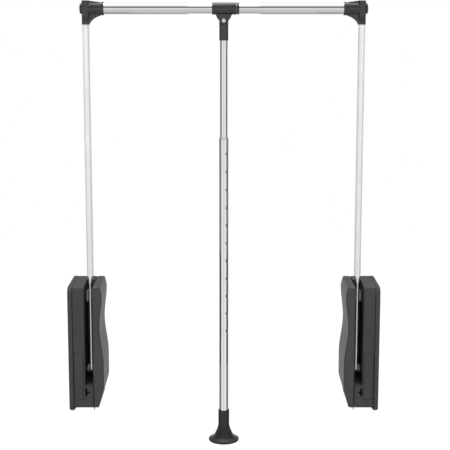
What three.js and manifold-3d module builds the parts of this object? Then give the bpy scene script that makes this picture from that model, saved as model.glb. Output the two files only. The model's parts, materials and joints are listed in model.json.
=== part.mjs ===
// A pull-down wardrobe rail: two spring housings that screw to the wardrobe's side walls, two arms that swing
// forward and down, a telescopic hanging rail between them, and a pull rod with a bell grip.
// X runs from the left wall to the right wall, -Y faces the user, +Z is up. The origin lies on the left
// wall, on the arms' pivot axis. Lengths are in millimetres, angles in degrees.
import * as THREE from 'three';
import { mergeVertices } from 'three/addons/utils/BufferGeometryUtils.js';
import Module from 'manifold-3d';

const wasm = await Module();
wasm.setup();

// Driving sizes
const overallWidth = 662;
const railHeight = 773;
const seatGap = 0.3;
const cutOverrun = 4;
const weldDistance = 0.0005;

// Housing: a base plate, a body with the arm's slot, a steel side plate and a side cover
const housingHeight = 265;
const housingDepth = 115;
const pivotAboveBottom = 72;
const basePlateThickness = 9.5;
const basePlateFloor = 2.5;
const basePlateRim = 3;
const basePlateDrop = 6;
const shellWall = 2.4;
const edgeRadius = 5;
const armInset = 43.5;
const slotWidth = 17.4;
const slotFloorDepth = 20;
const slotBehindPivot = 16;
const sidePlateThickness = 1.5;
const sidePlateMargin = 1.2;
const sideTabWidth = 7;
const sideTabDrop = 6;
const sideTabInset = 6;

// The side cover swells over the pivot, draws in at its waist and swells again at its shoulder
const bottomThickness = 64.5;
const bulgeThickness = 75;
const waistThickness = 67.2;
const shoulderThickness = 72.8;
const topThickness = 69.5;
const stationShares = [0, 0.19, 0.36, 0.66, 0.92, 1];
const coverRows = 12;
const coverInnerRows = 6;
const coverTurns = [0, 30, 60, 90];
const coverInnerTurns = [0, 45, 90];
const coverEndTurns = [65, 35];
const coverInnerEndTurns = [60];

// Moulded details of the housing body
const stripWidth = 19;
const stripHeight = 105;
const stripThickness = 1.4;
const stripInset = 12.6;
const stripAboveBottom = 18.6;
const notchWidth = 3.4;
const notchHeight = 17;
const notchDepth = 2;
const notchInset = 35;
const notchAboveBottom = 26;
const ribThickness = 1.6;
const plateRibShares = [0.2, 0.45, 0.7];
const coverRibShares = [0.2, 0.5, 0.8];

// Screws that clamp the housing's layers together
const screwShankDiameter = 3.8;
const screwHeadDiameter = 7.6;
const screwHeadHeight = 2;
const screwHeadRecess = 0.6;
const screwBossDiameter = 9.4;
const screwEdgeDistance = 11;
const screwClearance = 0.4;
const screwTipReach = 6;
const wallHoleDiameter = 5.2;
const wallHoleInset = 26;

// Pivot
const shaftDiameter = 10;
const shaftStart = 3.4;
const shaftEndBeyondPlate = 7;
const runningClearance = 0.3;
const bushWall = 1.8;
const bushFlangeRadius = 8.4;
const bushFlangeThickness = 2;
const clipThickness = 1.2;
const clipRadius = 8;
const clipGrooveDepth = 0.8;
const pivotBossWall = 3;

// Arm: a round tube whose lower end is pressed flat and drilled for the shaft
const armDiameter = 14.4;
const armWall = 1.5;
const armFlatThickness = 4.2;
const armFlatDepth = 22;
const armFlatBelowTop = 6;
const armTaperLength = 26;
const armFlatnessPower = 0.55;
const armEyeTurns = [70, 35];

// Crank, crosshead and spring
const crankRadius = 26;
const crankRestAngle = -47.5;
const crankThickness = 5;
const crankHubRadius = 9;
const crankTipRadius = 6;
const crankStart = 26;
const crankPinDiameter = 6;
const crankPinReach = 6.2;
const crankPinPlay = 1.25;
const guideDiameter = 7;
const guideInset = 14;
const guideBehindPivot = 22;
const guideBottom = -45;
const crossheadHeight = 16;
const crossheadFront = 11.5;
const crossheadDepth = 21.5;
const crossheadCornerRadius = 1.5;
const springOuterDiameter = 20;
const springWireDiameter = 3;
const springCurls = 17;
const seatHeight = 12;
const seatBelowTop = 15;
const seatDepth = 25;
const seatPocketDepth = 8;
const lugHeight = 12;
const lugDepth = 16;
const bufferHeight = 21;
const bufferBelowTop = 21;
const bufferEarWidth = 4.7;
const bufferEarFront = -9;

// Corner connector between arm and rail
const connectorWall = 2.1;
const connectorCollarWall = 1.2;
const connectorEnd = 82;
const connectorLipWidth = 4.6;
const connectorLipHeight = 0.6;
const connectorOuterFace = 36.1;
const connectorSocketWall = 1.1;
const connectorSocketDrop = 32.8;
const connectorArmStop = 14.6;
const connectorTubeStop = 42;
const connectorFilletReach = 4.4;
const connectorFilletDrop = 6;
const connectorCrown = 17;
const connectorCrownReach = 21;
const connectorWebShare = 0.8;
const capRadius = 11;
const capThickness = 3.8;
const capStemRadius = 4.2;
const capDomeShare = 0.35;
const capProfileShares = [[0.5, 0.75], [0.85, 0]];

// Telescopic rail
const outerRailDiameter = 24;
const outerRailWall = 1.2;
const innerRailDiameter = 20.8;
const innerRailWall = 1.2;
const innerRailLength = 450;
const outerRailHalfGap = 75;
const railPlugFlange = 4;
const railPlugStem = 14;
const railPlugWall = 2;

// Yoke on the rail
const yokeLeftReach = 24.6;
const yokeRightReach = 26.6;
const yokeWall = 1.8;
const yokeRingWidth = 5.2;
const yokeRingWall = 1.3;
const yokeEarHalfWidth = 17.4;
const yokeEarTipRadius = 7.2;
const yokeEarWaistHalfWidth = 13.6;
const yokeEarWaistRise = 4.6;
const yokeEarThickness = 3.8;
const pinDrop = 24.8;
const pinDiameter = 6;
const pinHeadDiameter = 8.8;
const pinHeadHeight = 1.8;
const pinDomeShares = [[0.6, 0.12], [1, 0.55]];
const pinWasherDiameter = 11.4;
const pinWasherThickness = 1;
const pinRivetDiameter = 9;

// Pull rod
const socketDiameter = 19;
const socketTongueThickness = 9.4;
const socketShoulderBelowPin = 7.5;
const socketBottomDrop = 65.7;
const socketFloorDrop = 44;
const setScrewDiameter = 4;
const setScrewDrop = 55.8;
const setScrewRecess = 0.8;
const upperRodDiameter = 16.2;
const upperRodWall = 1.1;
const lowerRodDiameter = 20;
const lowerRodWall = 0.9;
const lowerRodTopDrop = 271.8;
const lowerRodBottomDrop = 892;
const holeCount = 11;
const holePitch = 38.5;
const firstHoleBelowTop = 31.2;
const holeDiameter = 8.2;
const holeAzimuth = 47;
const buttonDiameter = 7;
const buttonRest = 0.35;
const buttonLength = 5.6;
const buttonTipShare = 0.55;
const rodEndBelowButton = 12;
const rodPlugHeight = 26;
const rodGuideHeight = 12;
const rodGuideLip = 2.4;
const rodGuideLipShare = 0.6;

// Bell grip
const bellTopDrop = 867.7;
const bellHeight = 69;
const bellWall = 2.4;
const collarDiameter = 24;
const skirtDiameter = 46;
const flangeDiameter = 67;
const flangeThickness = 4.6;
const flareTopShare = 0.48;
const flareEndAbove = 8.74;
const flarePower = 1.9;
const flangeEdgeShares = [0.6, 0.2];
const hollowRimInset = 6.44;
const hollowShares = [0.82, 0.56];
const fluteCount = 10;
const fluteDepth = 0.5;

// Facets
const tubeSides = 20;
const shaftSides = 12;
const smallSides = 8;
const cornerSegments = 3;
const innerCornerSegments = 2;
const taperSteps = 4;
const wireSides = 5;
const wireStepsPerCurl = 8;
const bellSides = 30;
const flareSteps = 4;

// Places that follow from the sizes above
const wallTop = housingHeight - pivotAboveBottom;
const wallBottom = -pivotAboveBottom;
const seatBottom = wallTop - seatBelowTop - seatHeight;
const bufferBottom = wallTop - bufferBelowTop - bufferHeight;
const armFlatTop = wallTop - armFlatBelowTop;
const housingFront = -housingDepth / 2;
const housingBack = housingDepth / 2;
const slotFrom = armInset - slotWidth / 2;
const slotTo = armInset + slotWidth / 2;
const bodyFrom = basePlateThickness + seatGap;
const bodyTo = slotTo - seatGap;
const platePlane = slotTo;
const coverFrom = platePlane + sidePlateThickness + seatGap;
const shaftEnd = platePlane + sidePlateThickness + shaftEndBeyondPlate;
const shaftRadius = shaftDiameter / 2;
const railCentre = overallWidth / 2;
const pinHeight = railHeight - pinDrop;
const crankPinRadius = crankPinDiameter / 2;
const restAngle = THREE.MathUtils.degToRad(crankRestAngle);
const crankPinY = crankRadius * Math.cos(restAngle);
const crankPinZ = crankRadius * Math.sin(restAngle);
const crossheadTop = crankPinZ + crossheadHeight / 2;
const holeTurn = THREE.MathUtils.degToRad(holeAzimuth);
const lowerRodTop = railHeight - lowerRodTopDrop;
const buttonHeight = lowerRodTop - firstHoleBelowTop - (holeCount - 1) * holePitch;

// Joining and cutting

function toSolid(geometry) {
  const bare = geometry.clone();
  bare.deleteAttribute('normal');
  bare.deleteAttribute('uv');
  const welded = mergeVertices(bare, weldDistance);
  const solid = new wasm.Manifold(new wasm.Mesh({
    numProp: 3,
    vertProperties: new Float32Array(welded.attributes.position.array),
    triVerts: new Uint32Array(welded.index.array),
  }));
  return solid;
}

function toGeometry(solid) {
  const mesh = solid.getMesh();
  const geometry = new THREE.BufferGeometry();
  geometry.setAttribute('position', new THREE.BufferAttribute(new Float32Array(mesh.vertProperties), 3));
  geometry.setIndex(new THREE.BufferAttribute(new Uint32Array(mesh.triVerts), 1));
  return geometry;
}

function join(...pieces) {
  return toGeometry(pieces.map(toSolid).reduce((whole, piece) => whole.add(piece)));
}

function cut(body, ...tools) {
  return toGeometry(tools.map(toSolid).reduce((whole, tool) => whole.subtract(tool), toSolid(body)));
}

function common(first, second) {
  return toGeometry(toSolid(first).intersect(toSolid(second)));
}

// Shapes

// A matrix that sends a shape's own X, Y and Z to the world directions named by along
const turns = {
  x: new THREE.Matrix4().set(0, 0, 1, 0, 1, 0, 0, 0, 0, 1, 0, 0, 0, 0, 0, 1),
  y: new THREE.Matrix4().set(1, 0, 0, 0, 0, 0, -1, 0, 0, 1, 0, 0, 0, 0, 0, 1),
  z: new THREE.Matrix4(),
};

// A round bar along an axis, from one coordinate to another; a centre is given as the other two coordinates
function bar(along, from, to, radius, [first, second] = [0, 0], sides = tubeSides, endRadius = radius) {
  const geometry = new THREE.CylinderGeometry(endRadius, radius, to - from, sides);
  geometry.rotateX(Math.PI / 2);
  geometry.translate(0, 0, (from + to) / 2);
  return place(geometry, along, first, second);
}

// A profile of [radius, distance along the axis] points turned about an axis
function turned(along, profile, [first, second] = [0, 0], sides = tubeSides) {
  const geometry = new THREE.LatheGeometry(profile.map(([r, d]) => new THREE.Vector2(r, d)), sides);
  geometry.rotateX(Math.PI / 2);
  return place(geometry, along, first, second);
}

function place(geometry, along, first, second) {
  if (along === 'y') geometry.rotateX(Math.PI);
  geometry.applyMatrix4(turns[along]);
  if (along === 'x') return geometry.translate(0, first, second);
  if (along === 'y') return geometry.translate(first, 0, second);
  return geometry.translate(first, second, 0);
}

function ringProfile(inner, outer, from, to) {
  return [[inner, from], [outer, from], [outer, to], [inner, to], [inner, from]];
}

// A box given by its two ends along X, Y and Z
function block([x0, x1], [y0, y1], [z0, z1]) {
  const geometry = new THREE.BoxGeometry(x1 - x0, y1 - y0, z1 - z0);
  return geometry.translate((x0 + x1) / 2, (y0 + y1) / 2, (z0 + z1) / 2);
}

// A flat outline pushed along an axis. Its points are (y, z) along X, (x, z) along Y and (x, y) along Z
function slab(along, shape, from, to, curveSegments = cornerSegments) {
  const geometry = new THREE.ExtrudeGeometry(shape, { depth: to - from, bevelEnabled: false, curveSegments });
  if (along === 'y') geometry.translate(0, 0, -to);
  else geometry.translate(0, 0, from);
  return geometry.applyMatrix4(turns[along]);
}

function roundedOutline(x0, y0, x1, y1, radius) {
  const shape = new THREE.Shape();
  shape.moveTo(x0 + radius, y0);
  shape.lineTo(x1 - radius, y0);
  shape.absarc(x1 - radius, y0 + radius, radius, -Math.PI / 2, 0);
  shape.lineTo(x1, y1 - radius);
  shape.absarc(x1 - radius, y1 - radius, radius, 0, Math.PI / 2);
  shape.lineTo(x0 + radius, y1);
  shape.absarc(x0 + radius, y1 - radius, radius, Math.PI / 2, Math.PI);
  shape.lineTo(x0, y0 + radius);
  shape.absarc(x0 + radius, y0 + radius, radius, Math.PI, Math.PI * 1.5);
  return shape;
}

// A closed solid through rings of equally many points, with flat ends
function loft(rings) {
  const count = rings[0].length;
  const positions = rings.flat(2);
  const index = [];
  const end = (rings.length - 1) * count;
  for (let here = 0; here < end; here += count) {
    const next = here + count;
    for (let k = 0; k < count; k += 1) {
      const after = (k + 1) % count;
      index.push(here + k, here + after, next + after, here + k, next + after, next + k);
    }
  }
  for (let k = 1; k < count - 1; k += 1) {
    index.push(0, k + 1, k, end, end + k, end + k + 1);
  }
  const geometry = new THREE.BufferGeometry();
  geometry.setAttribute('position', new THREE.Float32BufferAttribute(positions, 3));
  geometry.setIndex(index);
  return facingOut(geometry);
}

function flipped(geometry) {
  const index = geometry.index.array;
  for (let k = 0; k < index.length; k += 3) {
    [index[k], index[k + 1]] = [index[k + 1], index[k]];
  }
  return geometry;
}

function facingOut(geometry) {
  const [a, b, c] = [new THREE.Vector3(), new THREE.Vector3(), new THREE.Vector3()];
  const { position } = geometry.attributes;
  let volume = 0;
  for (let k = 0; k < geometry.index.count; k += 3) {
    a.fromBufferAttribute(position, geometry.index.getX(k));
    b.fromBufferAttribute(position, geometry.index.getX(k + 1));
    c.fromBufferAttribute(position, geometry.index.getX(k + 2));
    volume += a.dot(b.cross(c));
  }
  return volume < 0 ? flipped(geometry) : geometry;
}

// The left side's piece, turned into the right side's
function mirrored(geometry) {
  const copy = mergeVertices(stripped(geometry), weldDistance);
  copy.translate(-railCentre, 0, 0);
  copy.applyMatrix4(new THREE.Matrix4().makeScale(-1, 1, 1));
  copy.translate(railCentre, 0, 0);
  return flipped(copy);
}

function stripped(geometry) {
  const copy = geometry.clone();
  copy.deleteAttribute('normal');
  copy.deleteAttribute('uv');
  return copy;
}

const smooth = (share) => share * share * (3 - 2 * share);

// Finishes
const finishes = {
  texturedBlack: { color: '#3f3f41', roughness: 0.55, metalness: 0 },
  coverBlack: { color: '#454547', roughness: 0.5, metalness: 0 },
  plateSteel: { color: '#8d8f92', roughness: 0.45, metalness: 1 },
  chrome: { color: '#d6d6d4', roughness: 0.12, metalness: 1 },
  armGrey: { color: '#d4d5d8', roughness: 0.4, metalness: 0.6 },
  springSteel: { color: '#55585c', roughness: 0.35, metalness: 1 },
  zinc: { color: '#b7bbc0', roughness: 0.4, metalness: 1 },
  bearingGrey: { color: '#8a8c8f', roughness: 0.6, metalness: 0 },
  yokeBlack: { color: '#3a3839', roughness: 0.5, metalness: 0 },
  gripBlack: { color: '#333334', roughness: 0.45, metalness: 0 },
};

const part = new THREE.Group();

function add(name, finish, geometry) {
  const mesh = new THREE.Mesh(geometry, new THREE.MeshStandardMaterial(finishes[finish]));
  mesh.name = name;
  part.add(mesh);
}

function addPair(name, finish, geometry) {
  add(`left_${name}`, finish, geometry);
  add(`right_${name}`, finish, mirrored(geometry));
}

// Housing

function housingOutline(inset = 0, drop = 0) {
  const radius = Math.max(edgeRadius - inset, edgeRadius / 4);
  return roundedOutline(
    housingFront + inset, wallBottom + inset - drop, housingBack - inset, wallTop - inset, radius,
  );
}

// Distance of the side cover's face from the wall, at a share of the housing's height
function coverThickness(share) {
  const stations = [
    bottomThickness, bulgeThickness, bulgeThickness, waistThickness, shoulderThickness, topThickness,
  ];
  const above = stationShares.findIndex((station) => share <= station);
  const upper = above < 1 ? 1 : above;
  const from = stationShares[upper - 1];
  const blend = smooth((share - from) / (stationShares[upper] - from));
  return THREE.MathUtils.lerp(stations[upper - 1], stations[upper], blend);
}

// One level of the side cover: a D-shaped ring whose two outer corners are rounded
function coverRing(level, pull, inset, from, cornerTurns) {
  const share = (level - wallBottom) / housingHeight;
  const radius = edgeRadius - inset;
  const face = coverThickness(THREE.MathUtils.clamp(share, 0, 1)) - inset;
  const corner = radius - pull;
  const front = housingFront + inset;
  const back = housingBack - inset;
  const ring = [[from, front + pull, level]];
  for (const turn of cornerTurns) {
    const angle = THREE.MathUtils.degToRad(turn - 90);
    ring.push([face - radius + corner * Math.cos(angle), front + radius + corner * Math.sin(angle), level]);
  }
  for (const turn of cornerTurns) {
    const angle = THREE.MathUtils.degToRad(turn);
    ring.push([face - radius + corner * Math.cos(angle), back - radius + corner * Math.sin(angle), level]);
  }
  ring.push([from, back - pull, level]);
  return ring;
}

function coverShape(inset, from, rowCount = coverInnerRows) {
  const cornerTurns = inset > 0 ? coverInnerTurns : coverTurns;
  const radius = edgeRadius - inset;
  const low = wallBottom + inset;
  const high = wallTop - inset;
  const rounding = (inset > 0 ? coverInnerEndTurns : coverEndTurns).map(THREE.MathUtils.degToRad);
  const ends = rounding.map((angle) => [radius * (1 - Math.sin(angle)), radius * (1 - Math.cos(angle))]);
  const rows = Array.from({ length: rowCount + 1 }, (_, k) => low + radius
    + (k / rowCount) * (high - low - 2 * radius));
  return loft([
    ...ends.map(([rise, pull]) => coverRing(low + rise, pull, inset, from, cornerTurns)),
    ...rows.map((level) => coverRing(level, 0, inset, from, cornerTurns)),
    ...[...ends].reverse().map(([rise, pull]) => coverRing(high - rise, pull, inset, from, cornerTurns)),
  ]);
}

// Places (y, z) of the screws that run through the base plate, the body, the side plate and the side cover
const screwPlaces = [
  [housingBack - screwEdgeDistance, wallTop - screwEdgeDistance],
  [housingBack - screwEdgeDistance, wallBottom + screwEdgeDistance],
  [housingFront + screwEdgeDistance, wallBottom + screwEdgeDistance],
];

// Places (y, z) of the holes for the screws into the wardrobe's side wall
const wallHolePlaces = [
  [housingFront + wallHoleInset, wallTop - wallHoleInset],
  [housingFront + wallHoleInset, wallBottom + wallHoleInset + screwEdgeDistance],
  [housingBack - wallHoleInset / 2, wallTop / 2],
  [housingBack - wallHoleInset / 2, -wallHoleInset],
];

const screwHoleRadius = screwShankDiameter / 2 + screwClearance;
const screwHeadRadius = screwHeadDiameter / 2;
const screwBossRadius = screwBossDiameter / 2;

function basePlate() {
  const innerShape = roundedOutline(
    housingFront + basePlateRim, wallBottom - basePlateDrop + basePlateRim,
    housingBack - basePlateRim, wallTop - basePlateRim, edgeRadius / 2,
  );
  const tray = cut(
    slab('x', roundedOutline(housingFront, wallBottom - basePlateDrop, housingBack, wallTop, edgeRadius),
      0, basePlateThickness),
    slab('x', innerShape, basePlateFloor, basePlateThickness + cutOverrun, innerCornerSegments),
  );
  const floorIn = basePlateFloor / 2;
  const bosses = screwPlaces.map((place) => (
    bar('x', floorIn, basePlateThickness, screwBossRadius, place, smallSides)));
  const pivotBoss = bar('x', floorIn, basePlateThickness, shaftRadius + pivotBossWall, [0, 0], shaftSides);
  const ribLevels = plateRibShares.map((share) => wallBottom + share * housingHeight);
  const ribs = ribLevels.map((level) => block(
    [floorIn, basePlateThickness - basePlateRim],
    [housingFront + basePlateRim / 2, crossheadFront - basePlateRim],
    [level - ribThickness / 2, level + ribThickness / 2],
  ));
  const ledgeBottom = seatBottom + seatHeight + seatGap;
  const ledge = block(
    [floorIn, basePlateThickness], [guideBehindPivot - seatDepth / 2, guideBehindPivot + seatDepth / 2],
    [ledgeBottom, ledgeBottom + ribThickness * 2],
  );
  const lug = block(
    [floorIn, guideInset + guideDiameter], [guideBehindPivot - lugDepth / 2, guideBehindPivot + lugDepth / 2],
    [guideBottom - lugHeight / 2, guideBottom + lugHeight],
  );
  const lugBore = bar('z', guideBottom - seatGap, guideBottom + lugHeight + cutOverrun,
    guideDiameter / 2 + seatGap, [guideInset, guideBehindPivot], smallSides);
  const screwBores = screwPlaces.flatMap((place) => [
    bar('x', -cutOverrun, basePlateThickness + cutOverrun, screwHoleRadius, place, smallSides),
    bar('x', -cutOverrun, screwHeadRecess + screwHeadHeight + seatGap, screwHeadRadius + screwClearance,
      place, smallSides),
  ]);
  const wallBores = wallHolePlaces.map((place) => (
    bar('x', -cutOverrun, basePlateFloor + cutOverrun, wallHoleDiameter / 2, place, smallSides)));
  const pivotBore = bar('x', shaftStart - seatGap, basePlateThickness + cutOverrun,
    shaftRadius + runningClearance, [0, 0], shaftSides);
  return cut(join(tray, ...bosses, pivotBoss, ...ribs, ledge, lug), lugBore, ...screwBores, ...wallBores,
    pivotBore);
}

function housingBody() {
  const partition = slotFrom - shellWall;
  const whole = slab('x', housingOutline(), bodyFrom, bodyTo);
  const springPocket = slab('x', housingOutline(shellWall), bodyFrom - cutOverrun, partition,
    innerCornerSegments);
  const channel = new THREE.Shape();
  channel.moveTo(housingFront - cutOverrun, -slotFloorDepth);
  channel.lineTo(slotBehindPivot - edgeRadius, -slotFloorDepth);
  channel.absarc(slotBehindPivot - edgeRadius, edgeRadius - slotFloorDepth, edgeRadius, -Math.PI / 2, 0);
  channel.lineTo(slotBehindPivot, wallTop + cutOverrun);
  channel.lineTo(housingFront - cutOverrun, wallTop + cutOverrun);
  const armChannel = slab('x', channel, slotFrom, bodyTo + cutOverrun);
  const rearPocket = slab('x', roundedOutline(
    slotBehindPivot + shellWall, wallBottom + shellWall, housingBack - shellWall, wallTop - shellWall,
    edgeRadius / 2,
  ), slotFrom, bodyTo + cutOverrun, innerCornerSegments);
  const lowPocket = slab('x', roundedOutline(
    housingFront + shellWall, wallBottom + shellWall, slotBehindPivot, -slotFloorDepth - shellWall,
    edgeRadius / 2,
  ), slotFrom, bodyTo + cutOverrun, innerCornerSegments);
  const hollow = cut(whole, springPocket, armChannel, rearPocket, lowPocket);
  const bosses = screwPlaces.map((place) => bar('x', bodyFrom, bodyTo, screwBossRadius, place, smallSides));
  const bores = screwPlaces.map((place) => (
    bar('x', bodyFrom - cutOverrun, bodyTo + cutOverrun, screwHoleRadius, place, smallSides)));
  const bushBore = bar('x', partition - cutOverrun, slotFrom + cutOverrun,
    shaftRadius + runningClearance + bushWall + seatGap, [0, 0], shaftSides);
  const stripBottom = wallBottom + stripAboveBottom;
  const stripRecess = block(
    [stripInset - seatGap, stripInset + stripWidth + seatGap],
    [housingFront - cutOverrun, housingFront + stripThickness + seatGap],
    [stripBottom - seatGap, stripBottom + stripHeight + seatGap],
  );
  const notchBottom = wallBottom + notchAboveBottom;
  const notch = block([notchInset, notchInset + notchWidth],
    [housingFront - cutOverrun, housingFront + notchDepth], [notchBottom, notchBottom + notchHeight]);
  return cut(join(hollow, ...bosses), ...bores, bushBore, stripRecess, notch);
}

function screwStrip() {
  const bottom = wallBottom + stripAboveBottom;
  const face = slab('y', roundedOutline(stripInset, bottom, stripInset + stripWidth, bottom + stripHeight,
    stripThickness), housingFront, housingFront + stripThickness, innerCornerSegments);
  const groove = block([stripInset + stripWidth / 3, stripInset + stripWidth * 2 / 3],
    [housingFront - cutOverrun, housingFront + stripThickness / 3],
    [bottom + stripThickness * 3, bottom + stripThickness * 5]);
  return cut(face, groove);
}

function sidePlate() {
  const outline = slab('x', housingOutline(sidePlateMargin), platePlane, platePlane + sidePlateThickness);
  const tabFront = housingFront + sideTabInset;
  const tab = slab('x', roundedOutline(
    tabFront, wallBottom - sideTabDrop, tabFront + sideTabWidth, wallBottom + sideTabDrop, sideTabWidth / 4,
  ), platePlane, platePlane + sidePlateThickness, innerCornerSegments);
  const bores = screwPlaces.map((place) => bar('x', platePlane - cutOverrun,
    platePlane + sidePlateThickness + cutOverrun, screwHoleRadius, place, smallSides));
  const bushBore = bar('x', platePlane - cutOverrun, platePlane + sidePlateThickness + cutOverrun,
    shaftRadius + runningClearance + bushWall + seatGap, [0, 0], shaftSides);
  return cut(join(outline, tab), ...bores, bushBore);
}

function sideCover() {
  const shell = cut(coverShape(0, coverFrom, coverRows), coverShape(shellWall, coverFrom - cutOverrun));
  const inside = coverShape(shellWall / 2, coverFrom);
  const posts = screwPlaces.map((place) => common(inside, cut(
    bar('x', coverFrom, bulgeThickness, screwBossRadius, place, smallSides),
    bar('x', coverFrom - cutOverrun, coverFrom + screwTipReach + seatGap, screwHoleRadius, place, smallSides),
  )));
  const ribs = coverRibShares.map((share) => {
    const level = wallBottom + share * housingHeight;
    return common(inside, cut(
      block([coverFrom, bulgeThickness], [housingFront, housingBack],
        [level - ribThickness / 2, level + ribThickness / 2]),
      block([coverFrom - cutOverrun, shaftEnd + seatGap * 3], [housingFront + shellWall * 2,
        housingBack - shellWall * 2], [level - ribThickness, level + ribThickness]),
    ));
  });
  return join(shell, ...posts, ...ribs);
}

function housingScrew([y, z]) {
  const shank = screwShankDiameter / 2;
  const underHead = screwHeadRecess + screwHeadHeight;
  const tip = coverFrom + screwTipReach;
  return turned('x', [
    [0, screwHeadRecess], [screwHeadRadius, screwHeadRecess], [screwHeadRadius, underHead],
    [shank, underHead], [shank, tip - shank], [0, tip],
  ], [y, z], smallSides);
}

// Pivot

function pivotShaft() {
  const grooveFrom = platePlane + sidePlateThickness + bushFlangeThickness + seatGap;
  const grooveTo = grooveFrom + clipThickness + seatGap * 2;
  const chamfer = shaftRadius / 5;
  return turned('x', [
    [0, shaftStart], [shaftRadius - chamfer, shaftStart], [shaftRadius, shaftStart + chamfer],
    [shaftRadius, grooveFrom], [shaftRadius - clipGrooveDepth, grooveFrom],
    [shaftRadius - clipGrooveDepth, grooveTo], [shaftRadius, grooveTo],
    [shaftRadius, shaftEnd - chamfer], [shaftRadius - chamfer, shaftEnd], [0, shaftEnd],
  ], [0, 0], shaftSides);
}

// A flanged bush: its sleeve runs through a wall and its flange spaces the arm in the slot
function wallBush() {
  const bore = shaftRadius + runningClearance;
  const armFace = armInset - armFlatThickness / 2 - seatGap;
  const far = slotFrom - shellWall;
  return turned('x', [
    [bore, far], [bore + bushWall, far], [bore + bushWall, slotFrom + seatGap],
    [bushFlangeRadius, slotFrom + seatGap], [bushFlangeRadius, armFace], [bore, armFace], [bore, far],
  ], [0, 0], shaftSides);
}

function plateBush() {
  const bore = shaftRadius + runningClearance;
  const armFace = armInset + armFlatThickness / 2 + seatGap;
  const far = platePlane + sidePlateThickness + bushFlangeThickness;
  return turned('x', [
    [bore, armFace], [bushFlangeRadius, armFace], [bushFlangeRadius, platePlane - seatGap],
    [bore + bushWall, platePlane - seatGap], [bore + bushWall, far], [bore, far], [bore, armFace],
  ], [0, 0], shaftSides);
}

// A snap ring in the shaft's groove, open for a third of a turn
function shaftClip() {
  const from = platePlane + sidePlateThickness + bushFlangeThickness + seatGap * 2;
  const inner = shaftRadius - clipGrooveDepth + seatGap / 2;
  const ring = turned('x', ringProfile(inner, clipRadius, from, from + clipThickness), [0, 0], shaftSides);
  const mouth = block([from - cutOverrun, from + clipThickness + cutOverrun], [-inner, inner],
    [0, clipRadius + cutOverrun]);
  return cut(ring, mouth);
}

// Arm

// One ring of the arm: a circle of the tube where flatness is 0, a rounded bar where it is 1
function armRing(level, flatness, depthShare = 1) {
  const power = THREE.MathUtils.lerp(1, armFlatnessPower, flatness);
  const halfX = THREE.MathUtils.lerp(armDiameter, armFlatThickness, flatness) / 2;
  const halfY = depthShare * THREE.MathUtils.lerp(armDiameter, armFlatDepth, flatness) / 2;
  return Array.from({ length: tubeSides }, (_, k) => {
    const angle = (k / tubeSides) * Math.PI * 2;
    const [c, s] = [Math.cos(angle), Math.sin(angle)];
    return [
      armInset + halfX * Math.sign(c) * Math.abs(c) ** power,
      halfY * Math.sign(s) * Math.abs(s) ** power,
      level,
    ];
  });
}

function armTube() {
  const eyeRadius = armFlatDepth / 2;
  const eye = armEyeTurns.map((turn) => {
    const angle = THREE.MathUtils.degToRad(turn);
    return armRing(-eyeRadius * Math.sin(angle), 1, Math.cos(angle));
  });
  const taper = Array.from({ length: taperSteps + 1 }, (_, k) => (
    armRing(armFlatTop + (k / taperSteps) * armTaperLength, 1 - smooth(k / taperSteps))));
  const top = railHeight - connectorArmStop;
  const whole = loft([...eye, armRing(0, 1), ...taper, armRing(top, 0)]);
  const hollowFrom = armFlatTop + armTaperLength + armDiameter / 2;
  return cut(
    whole,
    bar('z', hollowFrom, top + cutOverrun, armDiameter / 2 - armWall, [armInset, 0]),
    bar('x', armInset - armFlatThickness, armInset + armFlatThickness, shaftRadius + seatGap, [0, 0],
      shaftSides),
  );
}

// Spring drive

function crank() {
  const tip = new THREE.Vector2(crankPinY, crankPinZ);
  const lean = Math.asin((crankHubRadius - crankTipRadius) / crankRadius);
  const quarter = Math.PI / 2 - lean;
  const web = new THREE.Shape();
  web.absarc(0, 0, crankHubRadius, restAngle + quarter, restAngle - quarter, false);
  web.absarc(tip.x, tip.y, crankTipRadius, restAngle - quarter, restAngle + quarter, false);
  const plate = slab('x', web, crankStart, crankStart + crankThickness, shaftSides / 2);
  const pin = bar('x', crankStart - crankPinReach, crankStart + crankThickness / 2, crankPinRadius,
    [crankPinY, crankPinZ], smallSides);
  const bore = bar('x', crankStart - cutOverrun, crankStart + crankThickness + cutOverrun,
    shaftRadius + seatGap, [0, 0], shaftSides);
  return cut(join(plate, pin), bore);
}

function crosshead() {
  const back = basePlateFloor + seatGap;
  const face = crankStart - seatGap * 2;
  const bottom = crankPinZ - crossheadHeight / 2;
  const whole = slab('x', roundedOutline(
    crossheadFront, bottom, crossheadFront + crossheadDepth, crossheadTop, crossheadCornerRadius,
  ), back, face, innerCornerSegments);
  const guideBore = bar('z', bottom - cutOverrun, crossheadTop + cutOverrun,
    guideDiameter / 2 + runningClearance, [guideInset, guideBehindPivot], smallSides);
  const play = crankPinRadius + crankPinPlay;
  const pinSlot = slab('x', roundedOutline(
    crankPinY - play, crankPinZ - play, crankRadius + play, crankPinZ + play, play - seatGap,
  ), crankStart - crankPinReach - seatGap, face + cutOverrun, innerCornerSegments);
  return cut(whole, guideBore, pinSlot);
}

function springSeat() {
  const back = basePlateFloor + seatGap;
  const whole = slab('z', roundedOutline(
    back, guideBehindPivot - seatDepth / 2, guideInset + seatDepth / 2, guideBehindPivot + seatDepth / 2,
    crossheadCornerRadius,
  ), seatBottom, seatBottom + seatHeight, innerCornerSegments);
  const pocket = bar('z', seatBottom - cutOverrun, seatBottom + seatPocketDepth + seatGap,
    guideDiameter / 2 + seatGap, [guideInset, guideBehindPivot], smallSides);
  return cut(whole, pocket);
}

function guideRod() {
  return bar('z', guideBottom, seatBottom + seatPocketDepth, guideDiameter / 2,
    [guideInset, guideBehindPivot], smallSides);
}

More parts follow.
